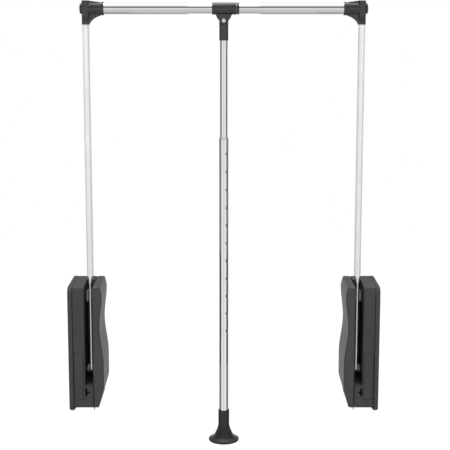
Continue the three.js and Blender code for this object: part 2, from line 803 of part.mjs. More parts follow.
// The coil spring's centre line: a helix whose two ends run straight into the crosshead and the seat
function springLine() {
  const from = crossheadTop + seatGap;
  const to = seatBottom - seatGap;
  const radius = (springOuterDiameter - springWireDiameter) / 2;
  const steps = springCurls * wireStepsPerCurl;
  const low = from + springWireDiameter;
  const high = to - springWireDiameter;
  const line = Array.from({ length: steps + 1 }, (_, k) => {
    const angle = (k / wireStepsPerCurl) * Math.PI * 2;
    return new THREE.Vector3(
      guideInset + radius * Math.cos(angle),
      guideBehindPivot + radius * Math.sin(angle),
      THREE.MathUtils.lerp(low, high, k / steps),
    );
  });
  const first = line[0].clone().setZ(from);
  const last = line[steps].clone().setZ(to);
  return [first, ...line, last];
}

// A wire of five sides carried along a line of points, mitred at each point
function wireAlong(points, diameter) {
  const up = new THREE.Vector3(0, 0, 1);
  const axis = new THREE.Vector3(guideInset, guideBehindPivot, 0);
  const rings = points.map((point, k) => {
    const atEnd = k === 0 || k === points.length - 1;
    const before = points[Math.max(k - 1, 0)];
    const after = points[Math.min(k + 1, points.length - 1)];
    const tangent = atEnd ? up : after.clone().sub(before).normalize();
    const outward = point.clone().sub(axis).setZ(0).normalize();
    const across = new THREE.Vector3().crossVectors(tangent, outward).normalize();
    return Array.from({ length: wireSides }, (_, s) => {
      const angle = (s / wireSides) * Math.PI * 2;
      return point.clone()
        .addScaledVector(outward, Math.cos(angle) * diameter / 2)
        .addScaledVector(across, Math.sin(angle) * diameter / 2)
        .toArray();
    });
  });
  return loft(rings);
}

// The least free gap between one curl and the next, measured on the centre line's points
function leastCurlGap(points, diameter) {
  let least = Infinity;
  for (let a = 0; a < points.length; a += 1) {
    for (let b = a + wireStepsPerCurl - 2; b < points.length; b += 1) {
      least = Math.min(least, points[a].distanceTo(points[b]) - diameter);
    }
  }
  return least;
}

function stopBuffer() {
  const ear = slotFrom + seatGap;
  const pad = new THREE.Shape();
  pad.moveTo(ear, bufferEarFront);
  pad.lineTo(ear + bufferEarWidth, bufferEarFront);
  pad.lineTo(ear + bufferEarWidth, armFlatDepth / 2 + seatGap);
  pad.lineTo(bodyTo - seatGap, armFlatDepth / 2 + seatGap);
  pad.lineTo(bodyTo - seatGap, slotBehindPivot - seatGap);
  pad.lineTo(ear, slotBehindPivot - seatGap);
  return slab('z', pad, bufferBottom, bufferBottom + bufferHeight);
}

// Corner connector

const railRadius = outerRailDiameter / 2;
const armRadius = armDiameter / 2;
const collarRadius = railRadius + seatGap + connectorCollarWall;

function cornerConnector() {
  const socketRadius = armRadius + seatGap + connectorSocketWall;
  const socketBottom = railHeight - connectorSocketDrop;
  const collarBottom = railHeight - collarRadius;
  const collarFrom = connectorTubeStop - connectorWall;
  const collar = turned('x', [
    [0, connectorOuterFace], [railRadius, connectorOuterFace], [collarRadius, collarFrom],
    [collarRadius, connectorEnd - connectorLipWidth],
    [collarRadius + connectorLipHeight, connectorEnd - connectorLipWidth + connectorLipHeight],
    [collarRadius + connectorLipHeight, connectorEnd], [0, connectorEnd],
  ], [0, railHeight]);
  const crownTop = railHeight + connectorCrown;
  const socket = turned('z', [
    [0, socketBottom], [socketRadius, socketBottom], [socketRadius, crownTop - connectorCollarWall],
    [socketRadius - connectorCollarWall, crownTop], [0, crownTop],
  ], [armInset, 0]);
  const web = new THREE.Shape();
  const socketEdge = armInset + socketRadius - seatGap;
  const collarEdge = connectorEnd - connectorLipWidth;
  web.moveTo(armInset, socketBottom + seatGap);
  web.lineTo(socketEdge, socketBottom + seatGap);
  web.quadraticCurveTo(socketEdge + connectorFilletReach, collarBottom - connectorFilletDrop,
    collarEdge, collarBottom + seatGap);
  web.lineTo(collarEdge, railHeight);
  web.lineTo(armInset + socketRadius + connectorCrownReach, railHeight + collarRadius - seatGap);
  web.lineTo(armInset, crownTop - seatGap);
  const webReach = socketRadius * connectorWebShare;
  const gusset = slab('y', web, -webReach, webReach, shaftSides / 2);
  const tubeBore = bar('x', connectorTubeStop, connectorEnd + cutOverrun, railRadius + seatGap,
    [0, railHeight]);
  const armBore = bar('z', socketBottom - cutOverrun, railHeight - connectorArmStop + seatGap,
    armRadius + seatGap, [armInset, 0]);
  const capBore = bar('x', connectorOuterFace - cutOverrun, connectorTubeStop + cutOverrun,
    capStemRadius + seatGap, [0, railHeight], smallSides);
  const capSeat = bar('x', connectorOuterFace - cutOverrun, connectorOuterFace, capRadius + seatGap,
    [0, railHeight]);
  return cut(join(collar, socket, gusset), tubeBore, armBore, capBore, capSeat);
}

// A domed plug that closes the connector's outer end
function cornerCap() {
  const face = connectorOuterFace - seatGap;
  const dome = capThickness * capDomeShare;
  const outside = face - capThickness;
  return turned('x', [
    [0, outside - dome], ...capProfileShares.map(([r, d]) => [capRadius * r, outside - dome * d]),
    [capRadius, outside + dome], [capRadius, face], [capStemRadius, face],
    [capStemRadius, connectorTubeStop - seatGap], [0, connectorTubeStop - seatGap],
  ], [0, railHeight], shaftSides);
}

// Rail

function railTube(diameter, wall, from, to) {
  return turned('x', ringProfile(diameter / 2 - wall, diameter / 2, from, to), [0, railHeight]);
}

const innerRailStart = railCentre - innerRailLength / 2;

function railPlug() {
  const bore = innerRailDiameter / 2 - innerRailWall - seatGap;
  const flange = railRadius - outerRailWall - runningClearance;
  return turned('x', [
    [bore - railPlugWall, innerRailStart - seatGap - railPlugFlange],
    [flange, innerRailStart - seatGap - railPlugFlange], [flange, innerRailStart - seatGap],
    [bore, innerRailStart - seatGap], [bore, innerRailStart + railPlugStem],
    [bore - railPlugWall, innerRailStart + railPlugStem],
    [bore - railPlugWall, innerRailStart - seatGap - railPlugFlange],
  ], [0, railHeight], shaftSides);
}

// Yoke

const sleeveBore = innerRailDiameter / 2 + runningClearance;
const sleeveRadius = sleeveBore + yokeWall;
const tongueFace = socketTongueThickness / 2;
const earInner = tongueFace + runningClearance;
const earOuter = earInner + yokeEarThickness;

function yokeBody() {
  const chamfer = yokeWall / 2;
  const from = railCentre - yokeLeftReach;
  const to = railCentre + yokeRightReach;
  const sleeve = turned('x', [
    [0, from], [sleeveRadius - chamfer, from], [sleeveRadius, from + chamfer], [sleeveRadius, to - chamfer],
    [sleeveRadius - chamfer, to], [0, to],
  ], [0, railHeight]);
  const earTop = railHeight - sleeveBore;
  const reach = Math.hypot(yokeEarWaistHalfWidth, yokeEarWaistRise);
  const tangent = Math.acos(yokeEarTipRadius / reach) - Math.atan2(yokeEarWaistRise, yokeEarWaistHalfWidth);
  const ear = new THREE.Shape();
  ear.moveTo(railCentre + yokeEarHalfWidth, earTop);
  ear.lineTo(railCentre - yokeEarHalfWidth, earTop);
  ear.lineTo(railCentre - yokeEarWaistHalfWidth, pinHeight + yokeEarWaistRise);
  ear.absarc(railCentre, pinHeight, yokeEarTipRadius, Math.PI + tangent, Math.PI * 2 - tangent, false);
  ear.lineTo(railCentre + yokeEarWaistHalfWidth, pinHeight + yokeEarWaistRise);
  const pair = [[-earOuter, -earInner], [earInner, earOuter]].map(([y0, y1]) => (
    slab('y', ear, y0, y1, shaftSides / 2)));
  const rib = block([railCentre - yokeEarHalfWidth, railCentre + yokeEarHalfWidth], [-earOuter, earOuter],
    [railHeight - sleeveRadius - yokeWall / 2, earTop]);
  const bore = bar('x', from - cutOverrun, to + cutOverrun, sleeveBore, [0, railHeight]);
  const pinBore = bar('y', -earOuter - cutOverrun, earOuter + cutOverrun, pinDiameter / 2 + runningClearance,
    [railCentre, pinHeight], shaftSides);
  return cut(join(sleeve, ...pair, rib), bore, pinBore);
}

function yokeRing() {
  const from = railCentre + yokeRightReach + seatGap;
  const outer = sleeveBore + yokeRingWall;
  const chamfer = yokeRingWall / 2;
  const to = from + yokeRingWidth;
  return turned('x', [
    [sleeveBore, from], [outer - chamfer, from], [outer, from + chamfer], [outer, to - chamfer],
    [outer - chamfer, to], [sleeveBore, to], [sleeveBore, from],
  ], [0, railHeight]);
}

// The pin's domed head is at the front; behind it a washer, and a riveted collar at the back
function yokePin() {
  const radius = pinDiameter / 2;
  const headBack = -earOuter - seatGap * 2 - pinWasherThickness;
  const headFront = headBack - pinHeadHeight;
  const tail = earOuter + seatGap + pinHeadHeight;
  return turned('y', [
    [0, headFront],
    ...pinDomeShares.map(([r, d]) => [r * pinHeadDiameter / 2, headFront + pinHeadHeight * d]),
    [pinHeadDiameter / 2, headBack],
    [radius, headBack], [radius, tail], [0, tail],
  ], [railCentre, pinHeight], shaftSides);
}

function pinWasher() {
  return turned('y', ringProfile(pinDiameter / 2 + seatGap, pinWasherDiameter / 2,
    -earOuter - seatGap - pinWasherThickness, -earOuter - seatGap), [railCentre, pinHeight], shaftSides);
}

function pinCollar() {
  return turned('y', ringProfile(pinDiameter / 2 + seatGap, pinRivetDiameter / 2,
    earOuter + seatGap, earOuter + seatGap + pinHeadHeight), [railCentre, pinHeight], smallSides);
}

// Pull rod

function rodSocket() {
  const radius = socketDiameter / 2;
  const shoulder = pinHeight - socketShoulderBelowPin;
  const bottom = railHeight - socketBottomDrop;
  const chamfer = radius / 8;
  const stem = turned('z', [
    [0, bottom], [radius - chamfer / 2, bottom], [radius, bottom + chamfer / 2], [radius, shoulder - chamfer],
    [radius - chamfer, shoulder], [0, shoulder],
  ], [railCentre, 0]);
  const tongueShape = new THREE.Shape();
  tongueShape.moveTo(railCentre - radius, shoulder - radius);
  tongueShape.lineTo(railCentre + radius, shoulder - radius);
  tongueShape.absarc(railCentre, pinHeight, radius, 0, Math.PI, false);
  const tongue = slab('y', tongueShape, -tongueFace, tongueFace, tubeSides / 2);
  const pinBore = bar('y', -tongueFace - cutOverrun, tongueFace + cutOverrun,
    pinDiameter / 2 + runningClearance, [railCentre, pinHeight], shaftSides);
  const rodBore = bar('z', bottom - cutOverrun, railHeight - socketFloorDrop,
    upperRodDiameter / 2 + seatGap, [railCentre, 0]);
  const screwBore = bar('y', -radius - cutOverrun, -upperRodDiameter / 2, setScrewDiameter / 2 + seatGap / 2,
    [railCentre, railHeight - setScrewDrop], smallSides);
  return cut(join(stem, tongue), pinBore, rodBore, screwBore);
}

function setScrew() {
  const from = -socketDiameter / 2 + setScrewRecess / 2;
  const to = -upperRodDiameter / 2 - seatGap;
  const height = railHeight - setScrewDrop;
  const body = bar('y', from, to, setScrewDiameter / 2, [railCentre, height], smallSides);
  const slot = block([railCentre - setScrewRecess / 4, railCentre + setScrewRecess / 4],
    [from - cutOverrun, from + setScrewRecess / 3], [height - setScrewDiameter, height + setScrewDiameter]);
  return cut(body, slot);
}

// A bore square to the rod, on the side that carries the catch's holes
function sideBore(diameter, from, to, height) {
  const tool = bar('y', from, to, diameter / 2, [0, 0], smallSides);
  tool.rotateZ(holeTurn);
  return tool.translate(railCentre, 0, height);
}

const upperRodRadius = upperRodDiameter / 2;
const lowerRodRadius = lowerRodDiameter / 2;
const upperRodBottom = buttonHeight - rodEndBelowButton;
const buttonBore = buttonDiameter + seatGap * 2;

function upperRod() {
  const tube = turned('z', ringProfile(upperRodRadius - upperRodWall, upperRodRadius, upperRodBottom,
    railHeight - socketFloorDrop - seatGap), [railCentre, 0]);
  return cut(tube, sideBore(buttonBore, -lowerRodDiameter, -upperRodRadius / 2, buttonHeight));
}

// The plug in the upper rod's lower end guides it in the lower rod and holds the catch button
function rodPlug() {
  const inner = upperRodRadius - upperRodWall - seatGap;
  const flange = lowerRodRadius - lowerRodWall - runningClearance;
  const flangeTop = upperRodBottom - seatGap;
  const body = turned('z', [
    [0, flangeTop - rodGuideLip], [flange, flangeTop - rodGuideLip], [flange, flangeTop], [inner, flangeTop],
    [inner, flangeTop + rodPlugHeight], [0, flangeTop + rodPlugHeight],
  ], [railCentre, 0]);
  return cut(body, sideBore(buttonBore, -lowerRodDiameter, upperRodRadius / 4, buttonHeight));
}

function catchButton() {
  const radius = buttonDiameter / 2;
  const tip = upperRodRadius + buttonRest;
  const button = turned('y', [
    [0, -tip], [radius * buttonTipShare, buttonRest / 2 - tip], [radius, buttonRest * 2 - tip],
    [radius, buttonLength - tip], [0, buttonLength - tip],
  ], [0, 0], smallSides);
  button.rotateZ(holeTurn);
  return button.translate(railCentre, 0, buttonHeight);
}

function lowerRod() {
  const tube = turned('z', ringProfile(lowerRodRadius - lowerRodWall, lowerRodRadius,
    railHeight - lowerRodBottomDrop, lowerRodTop), [railCentre, 0]);
  const holes = Array.from({ length: holeCount }, (_, k) => (
    sideBore(holeDiameter, -lowerRodDiameter, -lowerRodRadius / 2, buttonHeight + k * holePitch)));
  return cut(tube, ...holes);
}

function rodGuide() {
  const bore = upperRodRadius + runningClearance;
  const sleeve = lowerRodRadius - lowerRodWall - seatGap / 2;
  const seat = lowerRodTop + seatGap;
  return turned('z', [
    [bore, lowerRodTop - rodGuideHeight], [sleeve, lowerRodTop - rodGuideHeight], [sleeve, seat],
    [lowerRodRadius, seat], [lowerRodRadius, seat + rodGuideLip * rodGuideLipShare],
    [lowerRodRadius - rodGuideLip * (1 - rodGuideLipShare), seat + rodGuideLip], [bore, seat + rodGuideLip],
    [bore, lowerRodTop - rodGuideHeight],
  ], [railCentre, 0], tubeSides);
}

// Bell grip

// Outside of the bell from the collar to the flange's underside, as [radius, drop below its top edge,
// flute share]
function bellOutside() {
  const collar = collarDiameter / 2;
  const skirt = skirtDiameter / 2;
  const flange = flangeDiameter / 2;
  const flareTop = bellHeight * flareTopShare;
  const flareEnd = bellHeight - flareEndAbove;
  const flare = Array.from({ length: flareSteps + 1 }, (_, k) => {
    const share = k / flareSteps;
    const swell = share ** flarePower;
    return [collar + (skirt - collar) * swell, flareTop + (flareEnd - flareTop) * share,
      Math.sin(Math.PI * share)];
  });
  return [
    [collar - bellWall / 3, 0, 0], [collar, bellWall / 3, 0], ...flare,
    [flange - flangeThickness, bellHeight - flangeThickness, 0],
    ...flangeEdgeShares.map((share) => [flange, bellHeight - flangeThickness * share, 0]),
    [flange - flangeThickness / 4, bellHeight, 0],
  ];
}

// The socket for the lower rod, from its floor up to the collar's rim
function bellSocket() {
  const seat = lowerRodRadius + seatGap;
  return [[seat, lowerRodBottomDrop - bellTopDrop + seatGap, 0], [seat, 0, 0]];
}

function bellHollow() {
  const neck = lowerRodRadius + seatGap - bellWall;
  return [
    [flangeDiameter / 2 - hollowRimInset, bellHeight, 0],
    [skirtDiameter / 2 - bellWall * 2, bellHeight * hollowShares[0], 0],
    [neck, bellHeight * hollowShares[1], 0],
    [neck, lowerRodBottomDrop - bellTopDrop + seatGap + bellWall, 0],
  ];
}

function bellGrip() {
  const top = railHeight - bellTopDrop;
  return loft([...bellSocket(), ...bellOutside(), ...bellHollow()].map(([radius, drop, flute]) => (
    Array.from({ length: bellSides }, (_, k) => {
      const angle = (k / bellSides) * Math.PI * 2;
      const wave = fluteDepth * flute * (1 - Math.cos(fluteCount * angle)) / 2;
      return [railCentre + (radius - wave) * Math.cos(angle), (radius - wave) * Math.sin(angle), top - drop];
    }))));
}

// The two sides
addPair('base_plate', 'texturedBlack', basePlate());
addPair('housing_body', 'texturedBlack', housingBody());
addPair('screw_strip', 'texturedBlack', screwStrip());
addPair('side_plate', 'plateSteel', sidePlate());
addPair('side_cover', 'coverBlack', sideCover());
['upper', 'rear', 'front'].forEach((place, k) => {
  addPair(`housing_screw_${place}`, 'zinc', housingScrew(screwPlaces[k]));
});
addPair('pivot_shaft', 'zinc', pivotShaft());
addPair('wall_bush', 'bearingGrey', wallBush());
addPair('plate_bush', 'bearingGrey', plateBush());
addPair('shaft_clip', 'springSteel', shaftClip());
addPair('arm_tube', 'armGrey', armTube());
addPair('crank', 'plateSteel', crank());
addPair('crosshead', 'bearingGrey', crosshead());
addPair('spring_seat', 'texturedBlack', springSeat());
addPair('guide_rod', 'zinc', guideRod());
addPair('spring', 'springSteel', wireAlong(springLine(), springWireDiameter));
addPair('stop_buffer', 'bearingGrey', stopBuffer());
addPair('corner_connector', 'yokeBlack', cornerConnector());
addPair('corner_cap', 'yokeBlack', cornerCap());
addPair('outer_rail', 'chrome', railTube(outerRailDiameter, outerRailWall, connectorTubeStop + seatGap,
  railCentre - outerRailHalfGap));
addPair('rail_plug', 'bearingGrey', railPlug());

// The middle
add('inner_rail', 'chrome', railTube(innerRailDiameter, innerRailWall, innerRailStart,
  innerRailStart + innerRailLength));
add('yoke_body', 'yokeBlack', yokeBody());
add('yoke_ring', 'yokeBlack', yokeRing());
add('yoke_pin', 'chrome', yokePin());
add('pin_washer', 'yokeBlack', pinWasher());
add('pin_collar', 'zinc', pinCollar());
add('rod_socket', 'yokeBlack', rodSocket());
add('set_screw', 'springSteel', setScrew());
add('upper_rod', 'chrome', upperRod());
add('rod_plug', 'bearingGrey', rodPlug());
add('catch_button', 'zinc', catchButton());
add('lower_rod', 'chrome', lowerRod());
add('rod_guide', 'bearingGrey', rodGuide());
add('bell_grip', 'gripBlack', bellGrip());

const curlGap = leastCurlGap(springLine(), springWireDiameter);
console.log(`least gap between the spring's curls: ${curlGap.toFixed(2)} mm`);

export default part;
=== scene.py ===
# A pull-down wardrobe rail: two spring housings, two arms, a telescopic rail, a pull rod with a bell grip.
# X runs from the left wall to the right wall, -Y faces the user, +Z is up. Sizes are in millimetres.
import json
import math
import bpy
import numpy as np
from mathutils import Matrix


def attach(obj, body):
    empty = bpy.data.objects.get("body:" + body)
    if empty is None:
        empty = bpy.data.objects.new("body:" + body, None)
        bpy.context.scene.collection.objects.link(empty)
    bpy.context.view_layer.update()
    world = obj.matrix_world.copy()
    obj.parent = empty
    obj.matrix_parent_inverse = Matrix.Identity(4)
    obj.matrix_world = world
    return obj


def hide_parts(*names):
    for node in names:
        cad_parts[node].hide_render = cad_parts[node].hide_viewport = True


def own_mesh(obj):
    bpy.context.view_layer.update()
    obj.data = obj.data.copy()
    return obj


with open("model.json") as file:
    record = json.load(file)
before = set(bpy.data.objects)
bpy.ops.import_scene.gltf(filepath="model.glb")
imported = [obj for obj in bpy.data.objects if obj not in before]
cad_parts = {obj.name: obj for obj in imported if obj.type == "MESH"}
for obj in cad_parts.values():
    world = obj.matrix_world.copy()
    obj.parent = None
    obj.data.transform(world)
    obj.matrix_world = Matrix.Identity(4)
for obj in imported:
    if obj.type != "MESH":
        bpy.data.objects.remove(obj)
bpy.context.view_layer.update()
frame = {"nodes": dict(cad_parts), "record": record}
print("frame loaded:", len(frame["nodes"]), "nodes")

mm = 0.001
wallToWall = 662
middle = wallToWall / 2
railHeight = 773
core = 0.02  # the radius at which a solid turned piece is closed
overrun = 4  # how far a cutting tool sticks out
bodyOf = {n: b for b, names in frame["record"]["behaviour"]["bodies"].items() for n in names}


# Surfaces

def filleted(corners, steps=5, closed=False):
    # Corners are (a, b, radius). A fillet is an arc that touches both sides of its corner: its centre lies
    # radius / sin(half angle) from the corner along the bisector
    flat = np.array([corner[:2] for corner in corners], float)
    count = len(flat)
    points = []
    for k, corner in enumerate(corners):
        radius = corner[2] if len(corner) > 2 else 0
        if radius <= 0 or (not closed and k in (0, count - 1)):
            points.append(flat[k][None])
            continue
        a, b = flat[k - 1] - flat[k], flat[(k + 1) % count] - flat[k]
        a, b = a / np.linalg.norm(a), b / np.linalg.norm(b)
        half = math.acos(np.clip(a @ b, -1, 1)) / 2
        centre = (a + b) / np.linalg.norm(a + b) * radius / math.sin(half)
        first, last = a * radius / math.tan(half) - centre, b * radius / math.tan(half) - centre
        sweep = math.atan2(first[0] * last[1] - first[1] * last[0], first @ last)
        turn = sweep * np.linspace(0, 1, steps + 1)
        points.append(flat[k] + centre + np.stack([
            first[0] * np.cos(turn) - first[1] * np.sin(turn),
            first[0] * np.sin(turn) + first[1] * np.cos(turn)], -1))
    return np.concatenate(points)


def inSpace(along, a, b, axis):
    # The three coordinates, when along runs on the named axis and a, b are the other two in order
    order = {"x": (along, a, b), "y": (a, along, b), "z": (a, b, along)}[axis]
    return np.stack(np.broadcast_arrays(*order), -1)


def skin(rows, loop=False):
    # Quads between neighbouring rows, each a closed ring. The ends are flat faces, or the last row meets
    # the first
    count, size = rows.shape[:2]
    a = np.arange(count if loop else count - 1)[:, None]
    b = np.arange(size)[None]
    a2, b2 = (a + 1) % count, (b + 1) % size
    faces = np.stack([a * size + b, a * size + b2, a2 * size + b2, a2 * size + b], -1)
    faces = faces.reshape(-1, 4).tolist()
    if not loop:
        faces += [list(range(size))[::-1], list(range((count - 1) * size, count * size))]
    return rows.reshape(-1, 3), faces


def angles(sides):
    return np.linspace(0, 2 * math.pi, sides, endpoint=False)[None]


def turned(profile, axis, centre, sides, loop=False):
    # Each profile point (radius, distance) goes round the axis: centre + radius (cos t, sin t)
    t = angles(sides)
    radius, along = profile[:, :1], profile[:, 1:2]
    return skin(inSpace(along, centre[0] + radius * np.cos(t), centre[1] + radius * np.sin(t), axis), loop)


def lathed(corners, axis, centre, sides, steps=5, loop=False):
    # The same from corners (radius, distance, fillet)
    return turned(filleted(corners, steps, loop), axis, centre, sides, loop)


def roundEdge(steps):
    # How far a round edge of radius 1 has come forward, 1 - cos t, and is drawn in, 1 - sin t
    t = np.linspace(0, math.pi / 2, steps + 1)
    return list(zip(1 - np.cos(t), 1 - np.sin(t)))


def carried(rows, axis):
    # A skin over outlines, each at its own distance along the axis
    return skin(np.stack([inSpace(along, *outline.T, axis) for along, outline in rows]))


def pushed(outlineAt, axis, start, end, first, last=None):
    # An outline carried along an axis, drawn in at both ends so that its edges are round
    last = first if last is None else last
    rows = [(start + first * rise, outlineAt(first * fall)) for rise, fall in roundEdge(4)]
    rows += [(end - last * rise, outlineAt(last * fall)) for rise, fall in roundEdge(4)[::-1]]
    return carried(rows, axis)


def boxOutline(a0, b0, a1, b1, radius, inset=0, steps=5):
    r = max(radius - inset, 0.1)
    a0, b0, a1, b1 = a0 + inset, b0 + inset, a1 - inset, b1 - inset
    return filleted([(a0, b0, r), (a1, b0, r), (a1, b1, r), (a0, b1, r)], steps, closed=True)


def slab(box, radius, axis, start, end, edge, steps=5):
    # A box's outline with round corners, carried along an axis
    return pushed(lambda inset: boxOutline(*box, radius, inset, steps), axis, start, end, edge)


def tube(inner, outer, start, end, axis, centre, sides, edge=0.3):
    # A pipe with slightly rounded ends
    corners = [(inner, start, edge), (outer, start, edge), (outer, end, edge), (inner, end, edge)]
    return lathed(corners, axis, centre, sides, 3, loop=True)


def smoothStep(share):
    return share * share * (3 - 2 * share)


def between(ends, share):
    return ends[0] + (ends[1] - ends[0]) * share


# Pieces

sharpAngle = 32


def placed(name, data):
    holder = bpy.data.objects.new(name, data)
    bpy.context.scene.collection.objects.link(holder)
    return holder


def numbersOf(items, name, size=1, kind=np.int32):
    # One value of every item of a mesh, in rows of the given size
    numbers = np.zeros(len(items) * size, kind)
    items.foreach_get(name, numbers)
    return numbers.reshape(-1, size)


def makeMesh(name, shape):
    points, faces = shape
    mesh = bpy.data.meshes.new(name)
    mesh.from_pydata((np.asarray(points) * mm).tolist(), [], faces)
    mesh.validate()
    mesh.calc_loop_triangles()
    corners = numbersOf(mesh.loop_triangles, "vertices", 3)
    a, b, c = np.moveaxis(numbersOf(mesh.vertices, "co", 3, float)[corners], 1, 0)
    if np.einsum("ij,ij->", a, np.cross(b, c)) < 0:  # the volume is negative where faces look inwards
        mesh.flip_normals()
    mesh.shade_smooth()
    mesh.set_sharp_from_angle(angle=math.radians(sharpAngle))
    return mesh


def addPiece(node, shape, finish):
    # A piece that takes the place of the node, named after it in camelCase
    first, *others = node.split("_")
    title = first + "".join(word.capitalize() for word in others)
    piece = placed(title, makeMesh(title, shape))
    piece.data.materials.append(finishes[finish])
    piece.modifiers.new("weighted normals", "WEIGHTED_NORMAL").keep_sharp = True
    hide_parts(node)
    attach(piece, bodyOf[node])
    return piece


def addPair(node, shape, finish):
    # The left side's piece, and its mirror image x -> wallToWall - x on the right
    points, faces = shape
    swapped = np.asarray(points) * (-1, 1, 1) + (wallToWall, 0, 0)
    return [addPiece("left_" + node, shape, finish), addPiece("right_" + node, (swapped, faces), finish)]


def carved(shape, cuts=(), adds=(), bores=()):
    # The shape less its cuts, joined with its adds, less its bores: Booleans of closed solids, read back as
    # points and faces
    def solid(form):
        holder = placed("solid", makeMesh("solid", form))
        holder.modifiers.new("flat", "TRIANGULATE")
        return holder
    whole = solid(shape)
    tools = []
    for operation, group in (("DIFFERENCE", cuts), ("UNION", adds), ("DIFFERENCE", bores)):
        for form in group:
            tools.append(solid(form))
            step = whole.modifiers.new("step", "BOOLEAN")
            step.operation, step.solver, step.object = operation, "MANIFOLD", tools[-1]
    whole.modifiers.new("merge", "WELD").merge_threshold = 0.002 * mm
    mesh = bpy.data.meshes.new_from_object(whole.evaluated_get(bpy.context.evaluated_depsgraph_get()))
    points = numbersOf(mesh.vertices, "co", 3, float) / mm
    corners, starts = numbersOf(mesh.loops, "vertex_index"), numbersOf(mesh.polygons, "loop_start")
    faces = [face.tolist() for face in np.split(corners[:, 0], starts[1:, 0])]
    for holder in [whole] + tools:
        bpy.data.objects.remove(holder)
    return points, faces


# Finishes

def linear(code):
    # A colour written as #rrggbb, as the shader's linear numbers
    parts = [int(code[k:k + 2], 16) / 255 for k in (1, 3, 5)]
    return [p / 12.92 if p <= 0.04045 else ((p + 0.055) / 1.055) ** 2.4 for p in parts] + [1]


def setInputs(tree, node, inputs):
    # Each input is given a value, or linked where it is another node's output
    for key, value in inputs.items():
        if isinstance(value, bpy.types.NodeSocket):
            tree.links.new(value, node.inputs[key])
        else:
            node.inputs[key].default_value = value


def addNode(tree, kind, inputs=None, **settings):
    node = tree.nodes.new("ShaderNode" + kind)
    for key, value in settings.items():
        setattr(node, key, value)
    setInputs(tree, node, inputs or {})
    return node


def outputOf(tree, kind, output, inputs=None, **settings):
    # One output of a new node
    return addNode(tree, kind, inputs, **settings).outputs[output]


def noiseOn(tree, scale, stretch, detail):
    # Noise on the piece's own coordinates, drawn out along the axes with a small stretch number
    place = outputOf(tree, "TexCoord", "Object")
    scaled = outputOf(tree, "Mapping", "Vector", {"Vector": place, "Scale": [scale * s for s in stretch]})
    return outputOf(tree, "TexNoise", "Fac", {"Vector": scaled, "Scale": 1.0, "Detail": detail})


def rampOf(tree, source, stops):
    # A number from 0 to 1 read off a ramp of (place, colour)
    node = addNode(tree, "ValToRGB", {"Fac": source})
    elements = node.color_ramp.elements
    while len(elements) < len(stops):
        elements.new(0.5)
    for element, (place, _) in zip(elements, stops):
        element.position = place
    for element, (_, colour) in zip(elements, stops):
        element.color = colour
    return node.outputs["Color"]


toneRamp = (0.35, 0.65)  # the part of the noise over which a tone changes


def makeFinish(name, f):
    # Colour: slow noise between two tones, with a fine speckle. Roughness: fine noise. Bump: fine noise, or
    # the cells of a spark-eroded mould
    material = bpy.data.materials.new(name)
    material.use_nodes = True
    tree = material.node_tree
    start, end = toneRamp
    (smooth, rough), (strength, depth), stretch = f["rough"], f["bump"], f.get("stretch", (1, 1, 1))
    slow, fine = noiseOn(tree, f["cloudScale"], stretch, 3.0), noiseOn(tree, f["grainScale"], stretch, 4.0)
    tones = rampOf(tree, slow, [(start, linear(f["low"])), (end, linear(f["high"]))])
    speckle = rampOf(tree, fine, [(start, [f["speckle"]] * 3 + [1]), (end, [1, 1, 1, 1])])
    metal, relief = f.get("metal", 0.0), fine
    if f.get("bare"):  # bare metal below a height, paint above it
        height = outputOf(tree, "SeparateXYZ", "Z", {0: outputOf(tree, "TexCoord", "Object")})
        metal = outputOf(tree, "MapRange", "Result", {
            "Value": height, "From Min": f["bare"][0], "From Max": f["bare"][1],
            "To Min": 1.0, "To Max": metal})
    if f.get("cells"):
        relief = outputOf(tree, "TexVoronoi", "Distance",
                          {"Vector": outputOf(tree, "TexCoord", "Object"), "Scale": f["cells"]})
    setInputs(tree, tree.nodes["Principled BSDF"], {
        "Metallic": metal, "Specular IOR Level": f.get("specular", 0.5),
        "Base Color": outputOf(tree, "Mix", "Result", {"Factor": 1.0, "A": tones, "B": speckle},
                               data_type="RGBA", blend_type="MULTIPLY"),
        "Roughness": outputOf(tree, "MapRange", "Result",
                              {"Value": fine, "To Min": smooth, "To Max": rough}),
        "Normal": outputOf(tree, "Bump", "Normal",
                           {"Height": relief, "Strength": strength, "Distance": depth * mm})})
    return material


